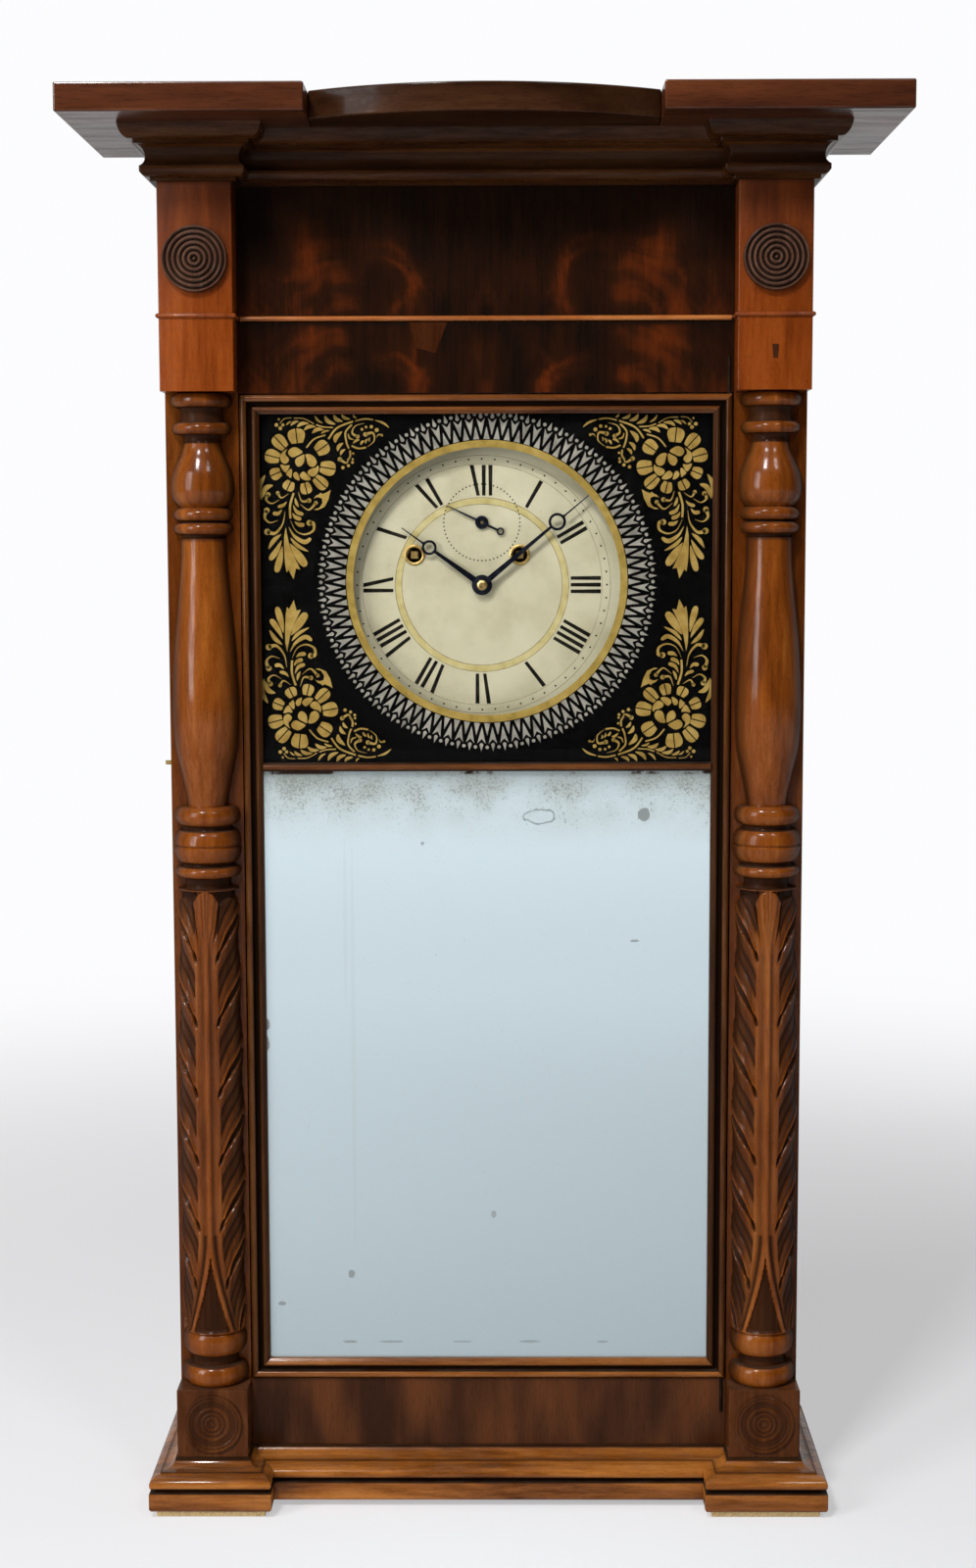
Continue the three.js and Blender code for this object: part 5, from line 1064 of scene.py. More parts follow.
def bore(piece, place, radius, length, turn=(0, 0, 0)):
    bpy.ops.object.select_all(action="DESELECT")
    bpy.ops.mesh.primitive_cylinder_add(
        vertices=24, radius=radius * MM, depth=length * MM, location=Vector(place) * MM,
        rotation=[math.radians(angle) for angle in turn],
    )
    cut_away(piece, bpy.context.object)


# Lit and shaded copies of one door wood: the rails are brightened as if lit from above, the foot rail most,
# and the uprights are darkened with painted shade.
DOOR_RAIL_LIT_TONES = ((0.062, 0.017, 0.0024), (0.14, 0.041, 0.0065), (0.23, 0.076, 0.0145))
DOOR_STILE_SHADED_TONES = ((0.032, 0.0092, 0.0014), (0.07, 0.0215, 0.0038), (0.115, 0.04, 0.0083))
DOOR_FOOT_LIT_TONES = ((0.11, 0.031, 0.0045), (0.21, 0.066, 0.0105), (0.32, 0.112, 0.022))
door_finish = {"shine": 0.05, "with_shade_and_dirt": True}
door_upright_wood = wood_finish(
    "door_upright_wood", DOOR_STILE_SHADED_TONES, 2, shift=(0.35, 0.75, 0.1), rough=0.24, coat=0.35, **door_finish
)
door_across_wood = wood_finish(
    "door_across_wood", DOOR_RAIL_LIT_TONES, 0, shift=(0.85, 0.35, 0.4), rough=0.2, coat=1.0, **door_finish
)
door_foot_wood = wood_finish(
    "door_foot_wood", DOOR_FOOT_LIT_TONES, 0, shift=(0.15, 0.6, 0.3), rough=0.2, coat=1.0, **door_finish
)
door_middle = (DOOR_BOTTOM + DOOR_TOP) / 2
door_height = DOOR_TOP - DOOR_BOTTOM
INTO_CASE = (0, 1, 0)
door_bars = (
    ("left", "stile", door_height, ((1, 0, 0), INTO_CASE, (0, 0, 1)), (-DOOR_HALF, DOOR_FRONT, door_middle)),
    ("right", "stile", door_height, ((-1, 0, 0), INTO_CASE, (0, 0, 1)), (DOOR_HALF, DOOR_FRONT, door_middle)),
    ("top", "rail", 2 * DOOR_HALF, ((0, 0, -1), INTO_CASE, (1, 0, 0)), (0, DOOR_FRONT, DOOR_TOP)),
    ("bottom", "rail", 2 * DOOR_HALF, ((0, 0, 1), INTO_CASE, (1, 0, 0)), (0, DOOR_FRONT, DOOR_BOTTOM)),
)
bar_woods = {"top": door_across_wood, "bottom": door_foot_wood}
for side, form, length, basis, corner in door_bars:
    bar = frame_bar(f"door_{side}_bar", length, basis, corner)
    set_shade_and_dirt(bar, door_shade)
    if side == "left":
        bore(bar, CATCH_HOLE, 2.1, 6.4, (0, 90, 0))
    else:
        bore(bar, (HINGE_X, HINGE_Y, DOOR_BOTTOM + 9.0), 1.5, 24)
        bore(bar, (HINGE_X, HINGE_Y, DOOR_TOP - 9.0), 1.5, 24)
    wood = bar_woods.get(side, door_upright_wood)
    fit_piece(bar, wood, f"door_{side}_{form}", "door")

mid_section = [(-1.2, 7.5), (-1.2, 12.0), (1.2, 12.0), (1.2, 7.5)]
mid_section += arc((0, 7.5), 3.2, 5.0, 90, 270, 24)
mid_rail = flat_piece("mid_rail_bead", [mid_section], 2 * 158.2)
smooth_faces(35)
set_along(mid_rail, ((0, 0, 1), INTO_CASE, (-1, 0, 0)), (0, DOOR_FRONT, MID_RAIL_Z))
# Painted shade on the rail's upper and lower edges, lighter along its middle.
set_shade_and_dirt(mid_rail, lambda at: 0.35 + 0.65 * ease(1.2, 2.6, abs(at.z - MID_RAIL_Z)))
fit_piece(mid_rail, door_across_wood, "door_mid_rail", "door")


# Tablet: a clear pane with gold leaf and grey bronze laid on its back, then blacked over except for
# the round window in front of the dial.
RING_X = 0.3
RING_Z = 663.1
GLASS_HALF = 162.9
PAINT_FRONT = -1.98
PAINT_THICK = 0.03
pane_glass, tree, shader = start_material("pane_glass")
feed(tree, shader, {
    "Base Color": (0.985, 0.985, 0.98, 1), "Roughness": 0.0, "IOR": 1.22, "Transmission Weight": 1.0,
})
ray = add_node(tree, "ShaderNodeLightPath")
clear = add_node(tree, "ShaderNodeBsdfTransparent", {"Color": (0.97, 0.97, 0.965, 1)})
unlit = maths(tree, "MAXIMUM", ray.outputs["Is Shadow Ray"], ray.outputs["Is Diffuse Ray"])
mixed = add_node(tree, "ShaderNodeMixShader", {0: unlit, 1: shader.outputs[0], 2: clear.outputs[0]})
tree.links.new(mixed.outputs[0], tree.nodes["Material Output"].inputs["Surface"])
dress(pane_glass, "tablet_glass")


def on_ring(radius, degrees, middle=(RING_X, RING_Z)):
    turn = math.radians(degrees)
    return (middle[0] + radius * math.sin(turn), middle[1] + radius * math.cos(turn))


def painted(name, outlines, front, thick):
    mesh = bpy.data.meshes.new(name)
    points = []
    faces = []
    for outline in outlines:
        faces.append(range(len(points), len(points) + len(outline)))
        points += [(across * MM, front * MM, up * MM) for across, up in outline]
    mesh.from_pydata(points, [], faces)
    piece = linked_piece(name, mesh)
    open_mesh()
    bpy.ops.mesh.remove_doubles(threshold=1e-7)
    bpy.ops.mesh.extrude_region_move(TRANSFORM_OT_translate={"value": (0, thick * MM, 0)})
    close_mesh()
    return piece


def band(inner, outer, middle=(RING_X, RING_Z), steps=160):
    quads = []
    for step in range(steps):
        first = 360 * step / steps
        second = 360 * (step + 1) / steps
        corners = ((inner, first), (outer, first), (outer, second), (inner, second))
        quads.append([on_ring(radius, degrees, middle) for radius, degrees in corners])
    return quads


def dot(place, radius, sides=12):
    return arc(place, radius, radius, 0, 360, sides)[:-1]


def worn_leaf(name, tones, rough):
    material, tree, shader = start_material(name)
    mottle = cloudy(tree, own_place(tree), 130.0, 5.0)
    feed(tree, shader, {
        "Base Color": ramp(tree, mottle, (0.3, 0.5, 0.7), tones),
        "Roughness": span(tree, mottle, 0.2, 0.8, rough - 0.08, rough + 0.12),
        "Specular IOR Level": 0.05,
    })
    return material


GOLD = ((0.225, 0.138, 0.031), (0.318, 0.208, 0.053), (0.385, 0.265, 0.081))
DULL_GOLD = ((0.23, 0.155, 0.034), (0.31, 0.215, 0.051), (0.37, 0.265, 0.076))
BRONZE = ((0.18, 0.17, 0.145), (0.265, 0.25, 0.215), (0.34, 0.32, 0.27))
BLACK = ((0.0002, 0.0002, 0.0002), (0.0003, 0.0003, 0.0003), (0.0006, 0.0005, 0.0004))
gold_leaf = worn_leaf("gold_leaf", GOLD, 0.5)
ring_gold = worn_leaf("ring_gold", DULL_GOLD, 0.45)
grey_bronze = worn_leaf("grey_bronze", BRONZE, 0.5)
black_ground = worn_leaf("black_ground", BLACK, 0.4)

window = arc((RING_X, RING_Z), 94.4, 94.4, 0, -360, 160)[:-1]
sheet = [(-GLASS_HALF, 534.5), (GLASS_HALF, 534.5), (GLASS_HALF, 784.6), (-GLASS_HALF, 784.6)]
ground = flat_piece("tablet_ground", [sheet, window], 0.08)
moved(ground, (0, -1.88, 0), (90, 0, 0))
ring_paint = painted("tablet_ring", band(93.9, 99.0), PAINT_FRONT, PAINT_THICK)
TEETH = 88
pitch = 360 / TEETH
teeth = []
for number in range(TEETH):
    at = number * pitch
    between = at + pitch / 2
    inner_tooth = ((99.6, at - 0.3 * pitch), (108.4, at), (99.6, at + 0.3 * pitch))
    arrow = [(102.2, between), (114.2, between - 0.37 * pitch)]
    arrow += [(111.0, between), (114.2, between + 0.37 * pitch)]
    teeth.append([on_ring(radius, degrees) for radius, degrees in inner_tooth])
    teeth.append([on_ring(radius, degrees) for radius, degrees in arrow])
    teeth.append(dot(on_ring(116.8, at), 1.25))
    drop = [on_ring(119.8, between)]
    for step in range(9):
        turn = math.radians(-100 + 200 * step / 8)
        aside = math.degrees(1.3 * math.sin(turn) / 115)
        drop.append(on_ring(115.0 - 1.2 * math.cos(turn), between - aside))
    teeth.append(drop)
border = painted("tablet_border", teeth, PAINT_FRONT, PAINT_THICK)


def stroke(points, widths):
    left = []
    right = []
    for number, point in enumerate(points):
        before = Vector(points[max(number - 1, 0)])
        after = Vector(points[min(number + 1, len(points) - 1)])
        ahead = (after - before).normalized()
        side = Vector((-ahead.y, ahead.x)) * widths[number] / 2
        left.append((point[0] + side.x, point[1] + side.y))
        right.append((point[0] - side.x, point[1] - side.y))
    return left + right[::-1]


def smooth_through(points, steps, closed=False):
    count = len(points)
    found = []
    for index in range(count if closed else count - 1):
        numbers = [index + shift for shift in (-1, 0, 1, 2)]
        numbers = [number % count if closed else min(max(number, 0), count - 1) for number in numbers]
        before, low, high, after = (Vector(points[number]) for number in numbers)
        for step in range(steps):
            part = step / steps
            bend = (before * 2 - low * 5 + high * 4 - after) * part ** 2
            bend += (low * 3 - before - high * 3 + after) * part ** 3
            found.append(tuple(low + ((high - before) * part + bend) / 2))
    return found if closed else found + [tuple(points[-1])]


STROKE_SHARE = 0.86
PETAL_GAP = 0.42


def brushed(kind, size, points):
    if kind == "dot":
        return [dot(points[0], size, 12)]
    if kind == "cut":
        return [points]
    if kind == "shape":
        return [smooth_through(points, 4, True)]
    line = smooth_through(points, 7)
    size *= 1.0 if kind == "stem" else STROKE_SHARE
    shares = [number / (len(line) - 1) for number in range(len(line))]
    if kind == "stem":
        return [stroke(line, [size] * len(line))]
    if kind == "leaf":
        return [stroke(line, [0.12 + size * math.sin(math.pi * share) for share in shares])]
    if kind == "club":
        swells = [math.sin(math.pi / 2 * min(share / 0.7, 1)) ** 1.2 for share in shares]
        ends = [math.sqrt(max(1 - (max(share - 0.7, 0) / 0.3) ** 2, 0)) for share in shares]
        return [stroke(line, [0.15 + size * swell * end for swell, end in zip(swells, ends)])]
    tail = stroke(line, [0.2 + size * 0.75 * share ** 1.2 for share in shares])
    return [tail, dot(points[-1], size * 0.58, 16)]


def half_petal(middle, angle, inner, outer, wide, side):
    heading = math.radians(angle)
    ahead = Vector((math.cos(heading), math.sin(heading)))
    across = Vector((-ahead.y, ahead.x)) * side
    outline = []
    for step in range(15):
        share = step / 14
        swell = 0.62 + 0.38 * math.sin(math.pi / 2 * min(share / 0.6, 1))
        swell *= math.sqrt(max(1 - max((share - 0.55) / 0.45, 0) ** 2.6, 0.0))
        along = Vector(middle) + ahead * (inner + (outer - inner) * share)
        outline.append(along + across * (PETAL_GAP + 0.88 * wide * swell))
    outline.append(Vector(middle) + ahead * (outer - 0.6) + across * PETAL_GAP)
    outline.append(Vector(middle) + ahead * inner + across * PETAL_GAP)
    return [tuple(point) for point in outline]


SPRAY_X = 158.4
SPRAY_TOP = 780.1
SPRAY_BOTTOM = 536.0
SPRAY = {
    "stem": (
        (0.6, (14.5, -6.2), (17.5, -3), (22.3, -2.4)), (0.7, (24.2, -2.7), (31.3, -3.1), (38, -6.6)),
        (0.9, (39.6, -7.2), (44.7, -8.8), (51.4, -9.2)), (1.3, (48.2, -17.1), (54.3, -9.5), (65.4, -5)),
        (1.1, (67.1, -4.6), (73.7, -3.3), (79.6, -3.9)), (1, (32.7, -23.1), (38.2, -17.1), (46.1, -14.4)),
        (1.2, (64.6, -7.3), (60.2, -12.4), (60.8, -19.4), (62.4, -23.7)),
        (1.2, (64.4, -21.9), (69, -23.7), (74.4, -23.1)),
        (1.3, (63.2, -25.1), (63.3, -28.9), (61.5, -32.1)),
        (1.5, (23.4, -54.6), (20.8, -63.4), (21, -72.2)),
    ),
    "leaf": (
        (1.7, (80.7, -4.2), (86.5, -6.1), (90.7, -9.4)), (1.3, (18.7, -7.5), (20.4, -5.8), (22.4, -4.9)),
        (2.2, (21.8, -7.8), (24.2, -5.6), (27.5, -4.7)), (2.8, (26.3, -8.8), (29.6, -6.4), (34.6, -6.3)),
        (2.8, (31.1, -11), (34.6, -8.5), (39.3, -8.6)), (3, (36.8, -13.1), (40.2, -10.5), (44.8, -10.6)),
        (1.7, (43.2, -13.4), (45.6, -11.8), (49, -11.3)), (1.7, (38.7, -1), (40.9, -4.2), (44.2, -6.1)),
        (3.1, (45.7, -1), (48, -4.8), (53.2, -7)), (3, (51.9, -0.3), (54.1, -3.6), (58.4, -5)),
        (2.4, (57.5, -0.2), (59.5, -2.5), (63.5, -3.5)), (1.4, (65.5, -0.3), (66.5, -1.9), (68, -2.6)),
        (1.3, (61.9, -13.3), (63, -16.5), (66, -17.6)), (1.9, (65.3, -20.2), (67.8, -18.1), (70, -17.8)),
        (1.8, (70.6, -21.4), (71.6, -19.4), (73.2, -18.3)),
        (1.4, (74.2, -20.4), (74.4, -18.5), (75.6, -17)), (1, (76.8, -19.1), (76.6, -17.5), (77.3, -16.1)),
        (3.7, (53, -19.9), (53.5, -15.9), (57.9, -11.9)),
        (2.8, (54.5, -25.6), (55.4, -22.2), (58.5, -19.9)),
        (2.2, (56.6, -28.4), (57.5, -25.9), (59.9, -24.2)), (4.1, (1, -59.3), (-0.5, -50), (3.6, -41.9)),
        (3.9, (1.2, -58.1), (3.9, -51.2), (9, -49.1)), (3.3, (14.3, -83.3), (9.1, -87.6), (5.3, -93.6)),
        (2.2, (24.4, -57.9), (25.3, -61.7), (26.9, -64.4)),
        (2.8, (20.9, -85.9), (25.6, -91.1), (33.3, -95.4)),
    ),
    "comma": (
        (2.8, (73.3, -6.3), (66.9, -8.3), (64.9, -13), (68.6, -15.5)),
        (3.1, (75.3, -22.7), (80.1, -18.5), (79.4, -13.1), (74.1, -14)),
        (1.9, (82, -16.1), (83.2, -14.2), (85.5, -14.6)), (3.1, (63.2, -28.2), (60.8, -33.6), (56, -31.2)),
        (3.4, (13.3, -59.2), (8.1, -61.8), (4.1, -59.2), (5.5, -55.6)),
        (2.6, (19.8, -55), (14.8, -57.9), (12.3, -54.5)),
        (4, (12.2, -73.6), (6.4, -75.1), (2.9, -71.5), (4.5, -66.6)),
        (4.4, (17.2, -67.4), (15.5, -76), (10.2, -82.5), (4.6, -81.6)),
        (3.2, (26.6, -53.8), (29.1, -60.1), (34.2, -59.8)),
        (2.8, (27.9, -62.2), (33.8, -66.3), (38.9, -61.5)),
        (4, (21, -73.7), (24.7, -80.8), (30.9, -83.4), (36.8, -80.8), (37.2, -76), (34.2, -75.4)),
    ),
    "dot": (
        (1, (71.7, -10.5)), (0.9, (74.6, -8.9)), (1.2, (78.3, -8.7)), (1.4, (82, -11)),
        (0.8, (65.4, -27.2)), (0.8, (65.1, -31.2)), (1.3, (11.9, -7.3)), (1.1, (16.4, -7.3)),
        (1.3, (14.6, -9.6)), (0.8, (13.6, -3.4)), (1, (64.9, -33.4)), (1.1, (62, -35.6)),
        (1.2, (58.1, -37)),
    ),
    "shape": (
        (0, (19.2, -23.9), (15.2, -27), (14.4, -30.4), (15.4, -33.2), (18.1, -34.2), (20.3, -32),
         (19.7, -29.8), (18, -28), (18.2, -25.8)),
        (0, (19.9, -26.1), (21.4, -23.8), (24.8, -22.7), (27.9, -24.1), (30, -26.3), (26.6, -28.3),
         (23.2, -29.7), (20.7, -28.4)),
        (0, (31, -27.8), (31.2, -31.1), (30.5, -33.9), (28.4, -35.9), (26.2, -35.9), (24.7, -33.2),
         (25.5, -30.5), (28.5, -28.8)),
        (0, (32.1, -27.8), (35.6, -27.8), (38.7, -30.2), (39.8, -33.3), (38.4, -35.8), (35.9, -36.3),
         (33.6, -34.5), (32.7, -30.8)),
        (0, (14.5, -34.8), (17.8, -35.5), (20.7, -35.3), (19.9, -37.9), (18, -40.3), (15.7, -38.2)),
        (0, (21.5, -37.7), (22.5, -39.6), (21.7, -44), (19.9, -42.9), (18.4, -41.1)),
        (0, (25.2, -40), (26.6, -41.2), (27.7, -45.7), (24.9, -44.9), (23.2, -42.6), (23.8, -40.5)),
        (0, (28.2, -41.3), (30.3, -39.7), (32.9, -41.5), (35.5, -44.9), (32.7, -45.9), (29.4, -44.7),
         (27.9, -42.7)),
        (0, (40.7, -35.4), (41.2, -38.3), (39.3, -42), (36.5, -43.2), (33.8, -41.5), (33.7, -39.2),
         (36.6, -37.5), (39.1, -36.9)),
    ),
    "club": (
        (2.6, (18.5, -60.5), (16.1, -63), (12.1, -64.2)), (3, (15.1, -66), (12.3, -68.8), (8.6, -68.5)),
        (4.6, (14.6, -87.5), (11.1, -94.5), (6, -101.4)),
        (5.2, (15.1, -91.6), (13.3, -100.3), (10.6, -110.1)),
        (3, (22.9, -62.9), (25.5, -67.6), (30.2, -69.5)),
        (3.1, (22.4, -68.4), (24.5, -71.4), (28.6, -72.9)),
        (3.2, (23.9, -74.5), (26.8, -76.5), (30.8, -76.8)),
        (3.4, (19.7, -78.2), (23.6, -84.6), (30.5, -88.7), (35.3, -86.1)),
        (6.6, (20.5, -89.8), (25.4, -96.9), (31.7, -105.8)),
    ),
    "cut": (
        (0, (17.6, -78.2), (16.4, -84.5), (16.3, -93.4), (16.8, -103.7), (17.8, -110), (19.3, -108.3),
         (22.7, -114.8), (24.5, -107.3), (27.6, -108), (23.1, -98.6), (19.6, -89.3), (18.2, -81.8)),
        (0, (49.4, -52.5), (47.8, -59.1), (45, -64.4), (39.9, -66.5), (37.4, -66.1), (41.5, -64.8),
         (43.6, -61.4), (43.2, -58.4), (40.8, -57.5), (38.4, -57.9), (37.2, -58.6), (38.9, -56.5),
         (41, -55.6), (42.5, -54.3), (43.6, -55.4), (45.8, -54.5), (47.3, -53.9)),
    ),
}
PETALS = (
    (34, 13.9, 24.3, 5.4), (96, 13.6, 24.4, 6.4), (133, 14.2, 26.0, 4.8), (165.5, 14.0, 25.0, 5.1),
    (203, 14.0, 22.3, 4.3), (243.6, 13.4, 21.0, 4.3), (283.8, 13.4, 22.0, 4.2), (317.6, 14.0, 25.5, 4.3),
    (350.4, 14.2, 25.7, 5.4),
)
FLOWER = (27.8, -34.0)
spandrel = []
for kind, rows in SPRAY.items():
    for size, *points in rows:
        spandrel += brushed(kind, size, points)
for angle, inner, outer, wide in PETALS:
    for side in (1, -1):
        spandrel.append(half_petal(FLOWER, angle, inner + 0.5, outer, wide, side))
spandrels = []
for side in (1, -1):
    for outline in spandrel:
        spandrels.append([(side * (across - SPRAY_X), SPRAY_TOP + up) for across, up in outline])
        spandrels.append([(side * (across - SPRAY_X), SPRAY_BOTTOM - up) for across, up in outline])
gold_work = painted("tablet_gold", spandrels, PAINT_FRONT, PAINT_THICK)
for piece, coat in (
    (ground, black_ground), (ring_paint, ring_gold), (border, grey_bronze), (gold_work, gold_leaf)
):
    fit_piece(piece, coat, body="door")


# Mirror: old silvered glass in the lower part of the door, foxed along its edges, with a thin pine
# board behind it.
mirror_silver, tree, shader = start_material("mirror_silver")
place = own_place(tree)
parts = add_node(tree, "ShaderNodeSeparateXYZ", {0: place})
cloud = cloudy(tree, place, 26.0, 6.0, 0.6)
grit = cloudy(tree, place, 820.0, 3.0)
fleck = cloudy(tree, place, 210.0, 2.0)


def spot(x, z, half_wide, half_tall, soft):
    across = maths(tree, "DIVIDE", maths(tree, "SUBTRACT", parts.outputs["X"], x * MM), half_wide * MM)
    up = maths(tree, "DIVIDE", maths(tree, "SUBTRACT", parts.outputs["Z"], z * MM), half_tall * MM)
    off = maths(tree, "ADD", maths(tree, "MULTIPLY", across, across), maths(tree, "MULTIPLY", up, up))
    return span(tree, maths(tree, "MULTIPLY_ADD", fleck, 1.3, off), 1.65 + soft, 1.65 - soft)


near_top = span(tree, parts.outputs["Z"], 0.468, 0.531)
bloom = maths(tree, "MULTIPLY", near_top, span(tree, cloud, 0.3, 0.66, 0.25, 1.0))
grainy = span(tree, maths(tree, "MULTIPLY_ADD", bloom, 0.22, grit), 0.66, 0.78)
flecks = span(tree, fleck, 0.765, 0.785, 0.0, 0.5)
edge = span(tree, parts.outputs["Z"], 0.5268, 0.5282)
chips = maths(tree, "MULTIPLY", edge, span(tree, cloud, 0.5, 0.56))
marks = maths(tree, "MAXIMUM", maths(tree, "MULTIPLY", grainy, 0.5), flecks)
MIRROR_SPOTS = (
    (111.3, 498.5, 4.6, 4.6, 0.8), (105.4, 407.7, 3.4, 0.9, 0.8), (4.3, 207.6, 2.0, 2.6, 0.7),
    (-98.9, 163.2, 2.2, 3.0, 0.9), (-96.2, 330.0, 1.6, 150.0, 0.1), (-101.5, 420.0, 1.4, 60.0, 0.1),
    (-149.7, 141.2, 3.0, 1.4, 0.9), (-158.2, 347.5, 2.2, 4.0, 1.0), (-158.4, 333.2, 2.0, 5.0, 1.0),
    (-100.0, 112.6, 5.0, 1.0, 0.8), (-70.0, 112.6, 9.0, 0.9, 0.7), (-18.0, 112.6, 7.0, 0.8, 0.6),
    (30.0, 112.8, 8.0, 0.9, 0.7), (83.0, 112.6, 4.0, 0.8, 0.7), (-46.0, 478.0, 1.2, 1.2, 0.6),
)
for x, z, half_wide, half_tall, strength in MIRROR_SPOTS:
    stain = maths(tree, "MULTIPLY", spot(x, z, half_wide, half_tall, 0.15), strength)
    marks = maths(tree, "MAXIMUM", marks, stain)
loop = maths(tree, "SUBTRACT", spot(37.6, 497.2, 11.5, 5.6, 0.1), spot(37.6, 497.2, 10.3, 4.4, 0.1))
marks = maths(tree, "MAXIMUM", marks, maths(tree, "MULTIPLY", loop, 0.7))
bloom_share = maths(tree, "MULTIPLY", bloom, 0.75)
# The pale blue-grey base colour is partly the silvering's own tint and partly a painted reflection of the
# room, shown through the mirror's non-metal share.
tint_and_reflection = blend_colours(tree, bloom_share, (0.614, 0.725, 0.765, 1), (0.4, 0.43, 0.37, 1))
tint_and_reflection = blend_colours(tree, maths(tree, "MULTIPLY", marks, 0.6), tint_and_reflection, (0.2, 0.19, 0.16, 1))
feed(tree, shader, {
    "Base Color": blend_colours(tree, chips, tint_and_reflection, (0.05, 0.03, 0.02, 1)),
    "Metallic": 0.7,
    "Roughness": maths(tree, "MULTIPLY_ADD", marks, 0.3, 0.05),
    "Specular IOR Level": 0.1,
})
dress(mirror_silver, "mirror_glass")
pine_upright = wood_finish("pine_upright", PINE_WOOD, 2, rough=0.7, coat=0.0)
backing = board("mirror_backing", (-GLASS_HALF, -1.2, 96.6), (GLASS_HALF, 3.2, 531.0), 0.5)
fit_piece(backing, pine_upright, body="door")


# Dial: a painted iron plate screwed to the case behind the door, with heavy numerals, a yellow band,
# minute dots and brass grommets at the winding holes.
HAND_X = -3.2
HAND_Z = 660.8
DIAL_FRONT = 9.2
INK_FRONT = DIAL_FRONT - 0.04
SECONDS_RISE = 44.0
GOING_X = 23.6
STRIKE_X = -50.9
WINDING_Z = 682.0
dial_paint, tree, shader = start_material("dial_paint")
place = own_place(tree)
stain = cloudy(tree, place, 28.0, 8.0, 0.65)
flecks = span(tree, cloudy(tree, place, 700.0, 2.0), 0.7, 0.76)
DIAL_TONES = ((0.375, 0.34, 0.215), (0.475, 0.445, 0.3), (0.54, 0.51, 0.36))
colour = ramp(tree, stain, (0.25, 0.5, 0.75), DIAL_TONES)
feed(tree, shader, {
    "Base Color": blend_colours(tree, maths(tree, "MULTIPLY", flecks, 0.4), colour, (0.2, 0.17, 0.1, 1)),
    "Roughness": span(tree, stain, 0.2, 0.8, 0.4, 0.6),
})
dress(dial_paint, "dial_plate")
dial_ink = worn_leaf("dial_ink", ((0.004, 0.004, 0.003), (0.008, 0.007, 0.005), (0.02, 0.017, 0.012)), 0.5)
dial_line = worn_leaf("dial_line", ((0.12, 0.1, 0.06), (0.2, 0.17, 0.1), (0.3, 0.26, 0.16)), 0.55)
dial_yellow = worn_leaf("dial_yellow", ((0.4, 0.33, 0.13), (0.47, 0.4, 0.175), (0.52, 0.455, 0.23)), 0.5)
hands_at = (HAND_X, HAND_Z)
NUMERALS = ("XII", "I", "II", "III", "IIII", "V", "VI", "VII", "VIII", "IX", "X", "XI")
NUMERAL_TOP = 84.2
NUMERAL_FOOT = 62.8
STROKE_ROOM = {"I": 4.7, "V": 6.8, "X": 7.6}
STROKE_LEAN = {"I": (0.0, 0.0), "V": (-2.4, 0.6), "X": (-2.4, 2.2)}
strokes = []
for hour, numeral in enumerate(NUMERALS):
    offset = -sum(STROKE_ROOM[sign] for sign in numeral) / 2
    turn = math.radians(30 * hour)
    for sign in numeral:
        middle = offset + STROKE_ROOM[sign] / 2
        offset += STROKE_ROOM[sign]
        lean_out, lean_in = STROKE_LEAN[sign]
        top = middle + lean_out
        foot = middle + lean_in
        corners = (
            (NUMERAL_TOP, top - 1.45), (NUMERAL_TOP, top + 1.45),
            (NUMERAL_FOOT, foot + 1.2), (NUMERAL_FOOT, foot - 1.2),
        )
        outline = []
        for out, along in corners:
            across = HAND_X + out * math.sin(turn) + along * math.cos(turn)
            outline.append((across, HAND_Z + out * math.cos(turn) - along * math.sin(turn)))
        strokes.append(outline)
numerals = painted("dial_numerals", strokes, INK_FRONT, 0.04)
seconds_at = (HAND_X, HAND_Z + SECONDS_RISE)
marks = [dot(on_ring(88.5, 6 * minute, hands_at), 0.7, 8) for minute in range(60)]
marks += [dot(on_ring(26.9, 6 * second, seconds_at), 0.58, 8) for second in range(60)]
dots = painted("dial_dots", marks, INK_FRONT, 0.04)
lines = band(84.85, 85.15, hands_at) + band(90.85, 91.2, hands_at)
lines += band(56.6, 57.05, hands_at, 120) + band(61.2, 61.65, hands_at, 120)
rings = painted("dial_rings", lines, INK_FRONT, 0.04)
yellow = painted("dial_yellow_band", band(57.05, 61.2, hands_at, 120), DIAL_FRONT - 0.03, 0.03)
for piece, paint in ((numerals, dial_ink), (dots, dial_ink), (rings, dial_line), (yellow, dial_yellow)):
    fit_piece(piece, paint)


def metal_finish(name, tones, rough, scale=160.0):
    material, tree, shader = start_material(name)
    tarnish = cloudy(tree, own_place(tree), scale, 6.0, 0.65)
    feed(tree, shader, {
        "Base Color": ramp(tree, tarnish, (0.3, 0.5, 0.7), tones),
        "Metallic": 1.0,
        "Roughness": span(tree, tarnish, 0.2, 0.8, rough + 0.14, rough - 0.08),
        "Normal": bumped(tree, tarnish, 0.08),
    })
    return material


old_brass = metal_finish("old_brass", ((0.32, 0.2, 0.06), (0.55, 0.38, 0.13), (0.7, 0.52, 0.22)), 0.3)
grommet_profile = [(5.2, 0.0), (5.2, 0.9), *arc((6.3, 0.4), 1.1, 0.9, -90, 90, 8), (7.4, 0.0), (5.2, 0.0)]
for train, across in (("going", GOING_X), ("strike", STRIKE_X)):
    grommet = turned(f"{train}_grommet", grommet_profile, (across, DIAL_FRONT, WINDING_Z), 40, axis="Y")
    fit_piece(grommet, old_brass)


# Hands: filed from steel sheet with a ring near the tip and blued.
# The minute hand sits on a brass collet.
BLUED = ((0.006, 0.007, 0.012), (0.012, 0.014, 0.022), (0.03, 0.032, 0.045))
blued_steel = metal_finish("blued_steel", BLUED, 0.34)


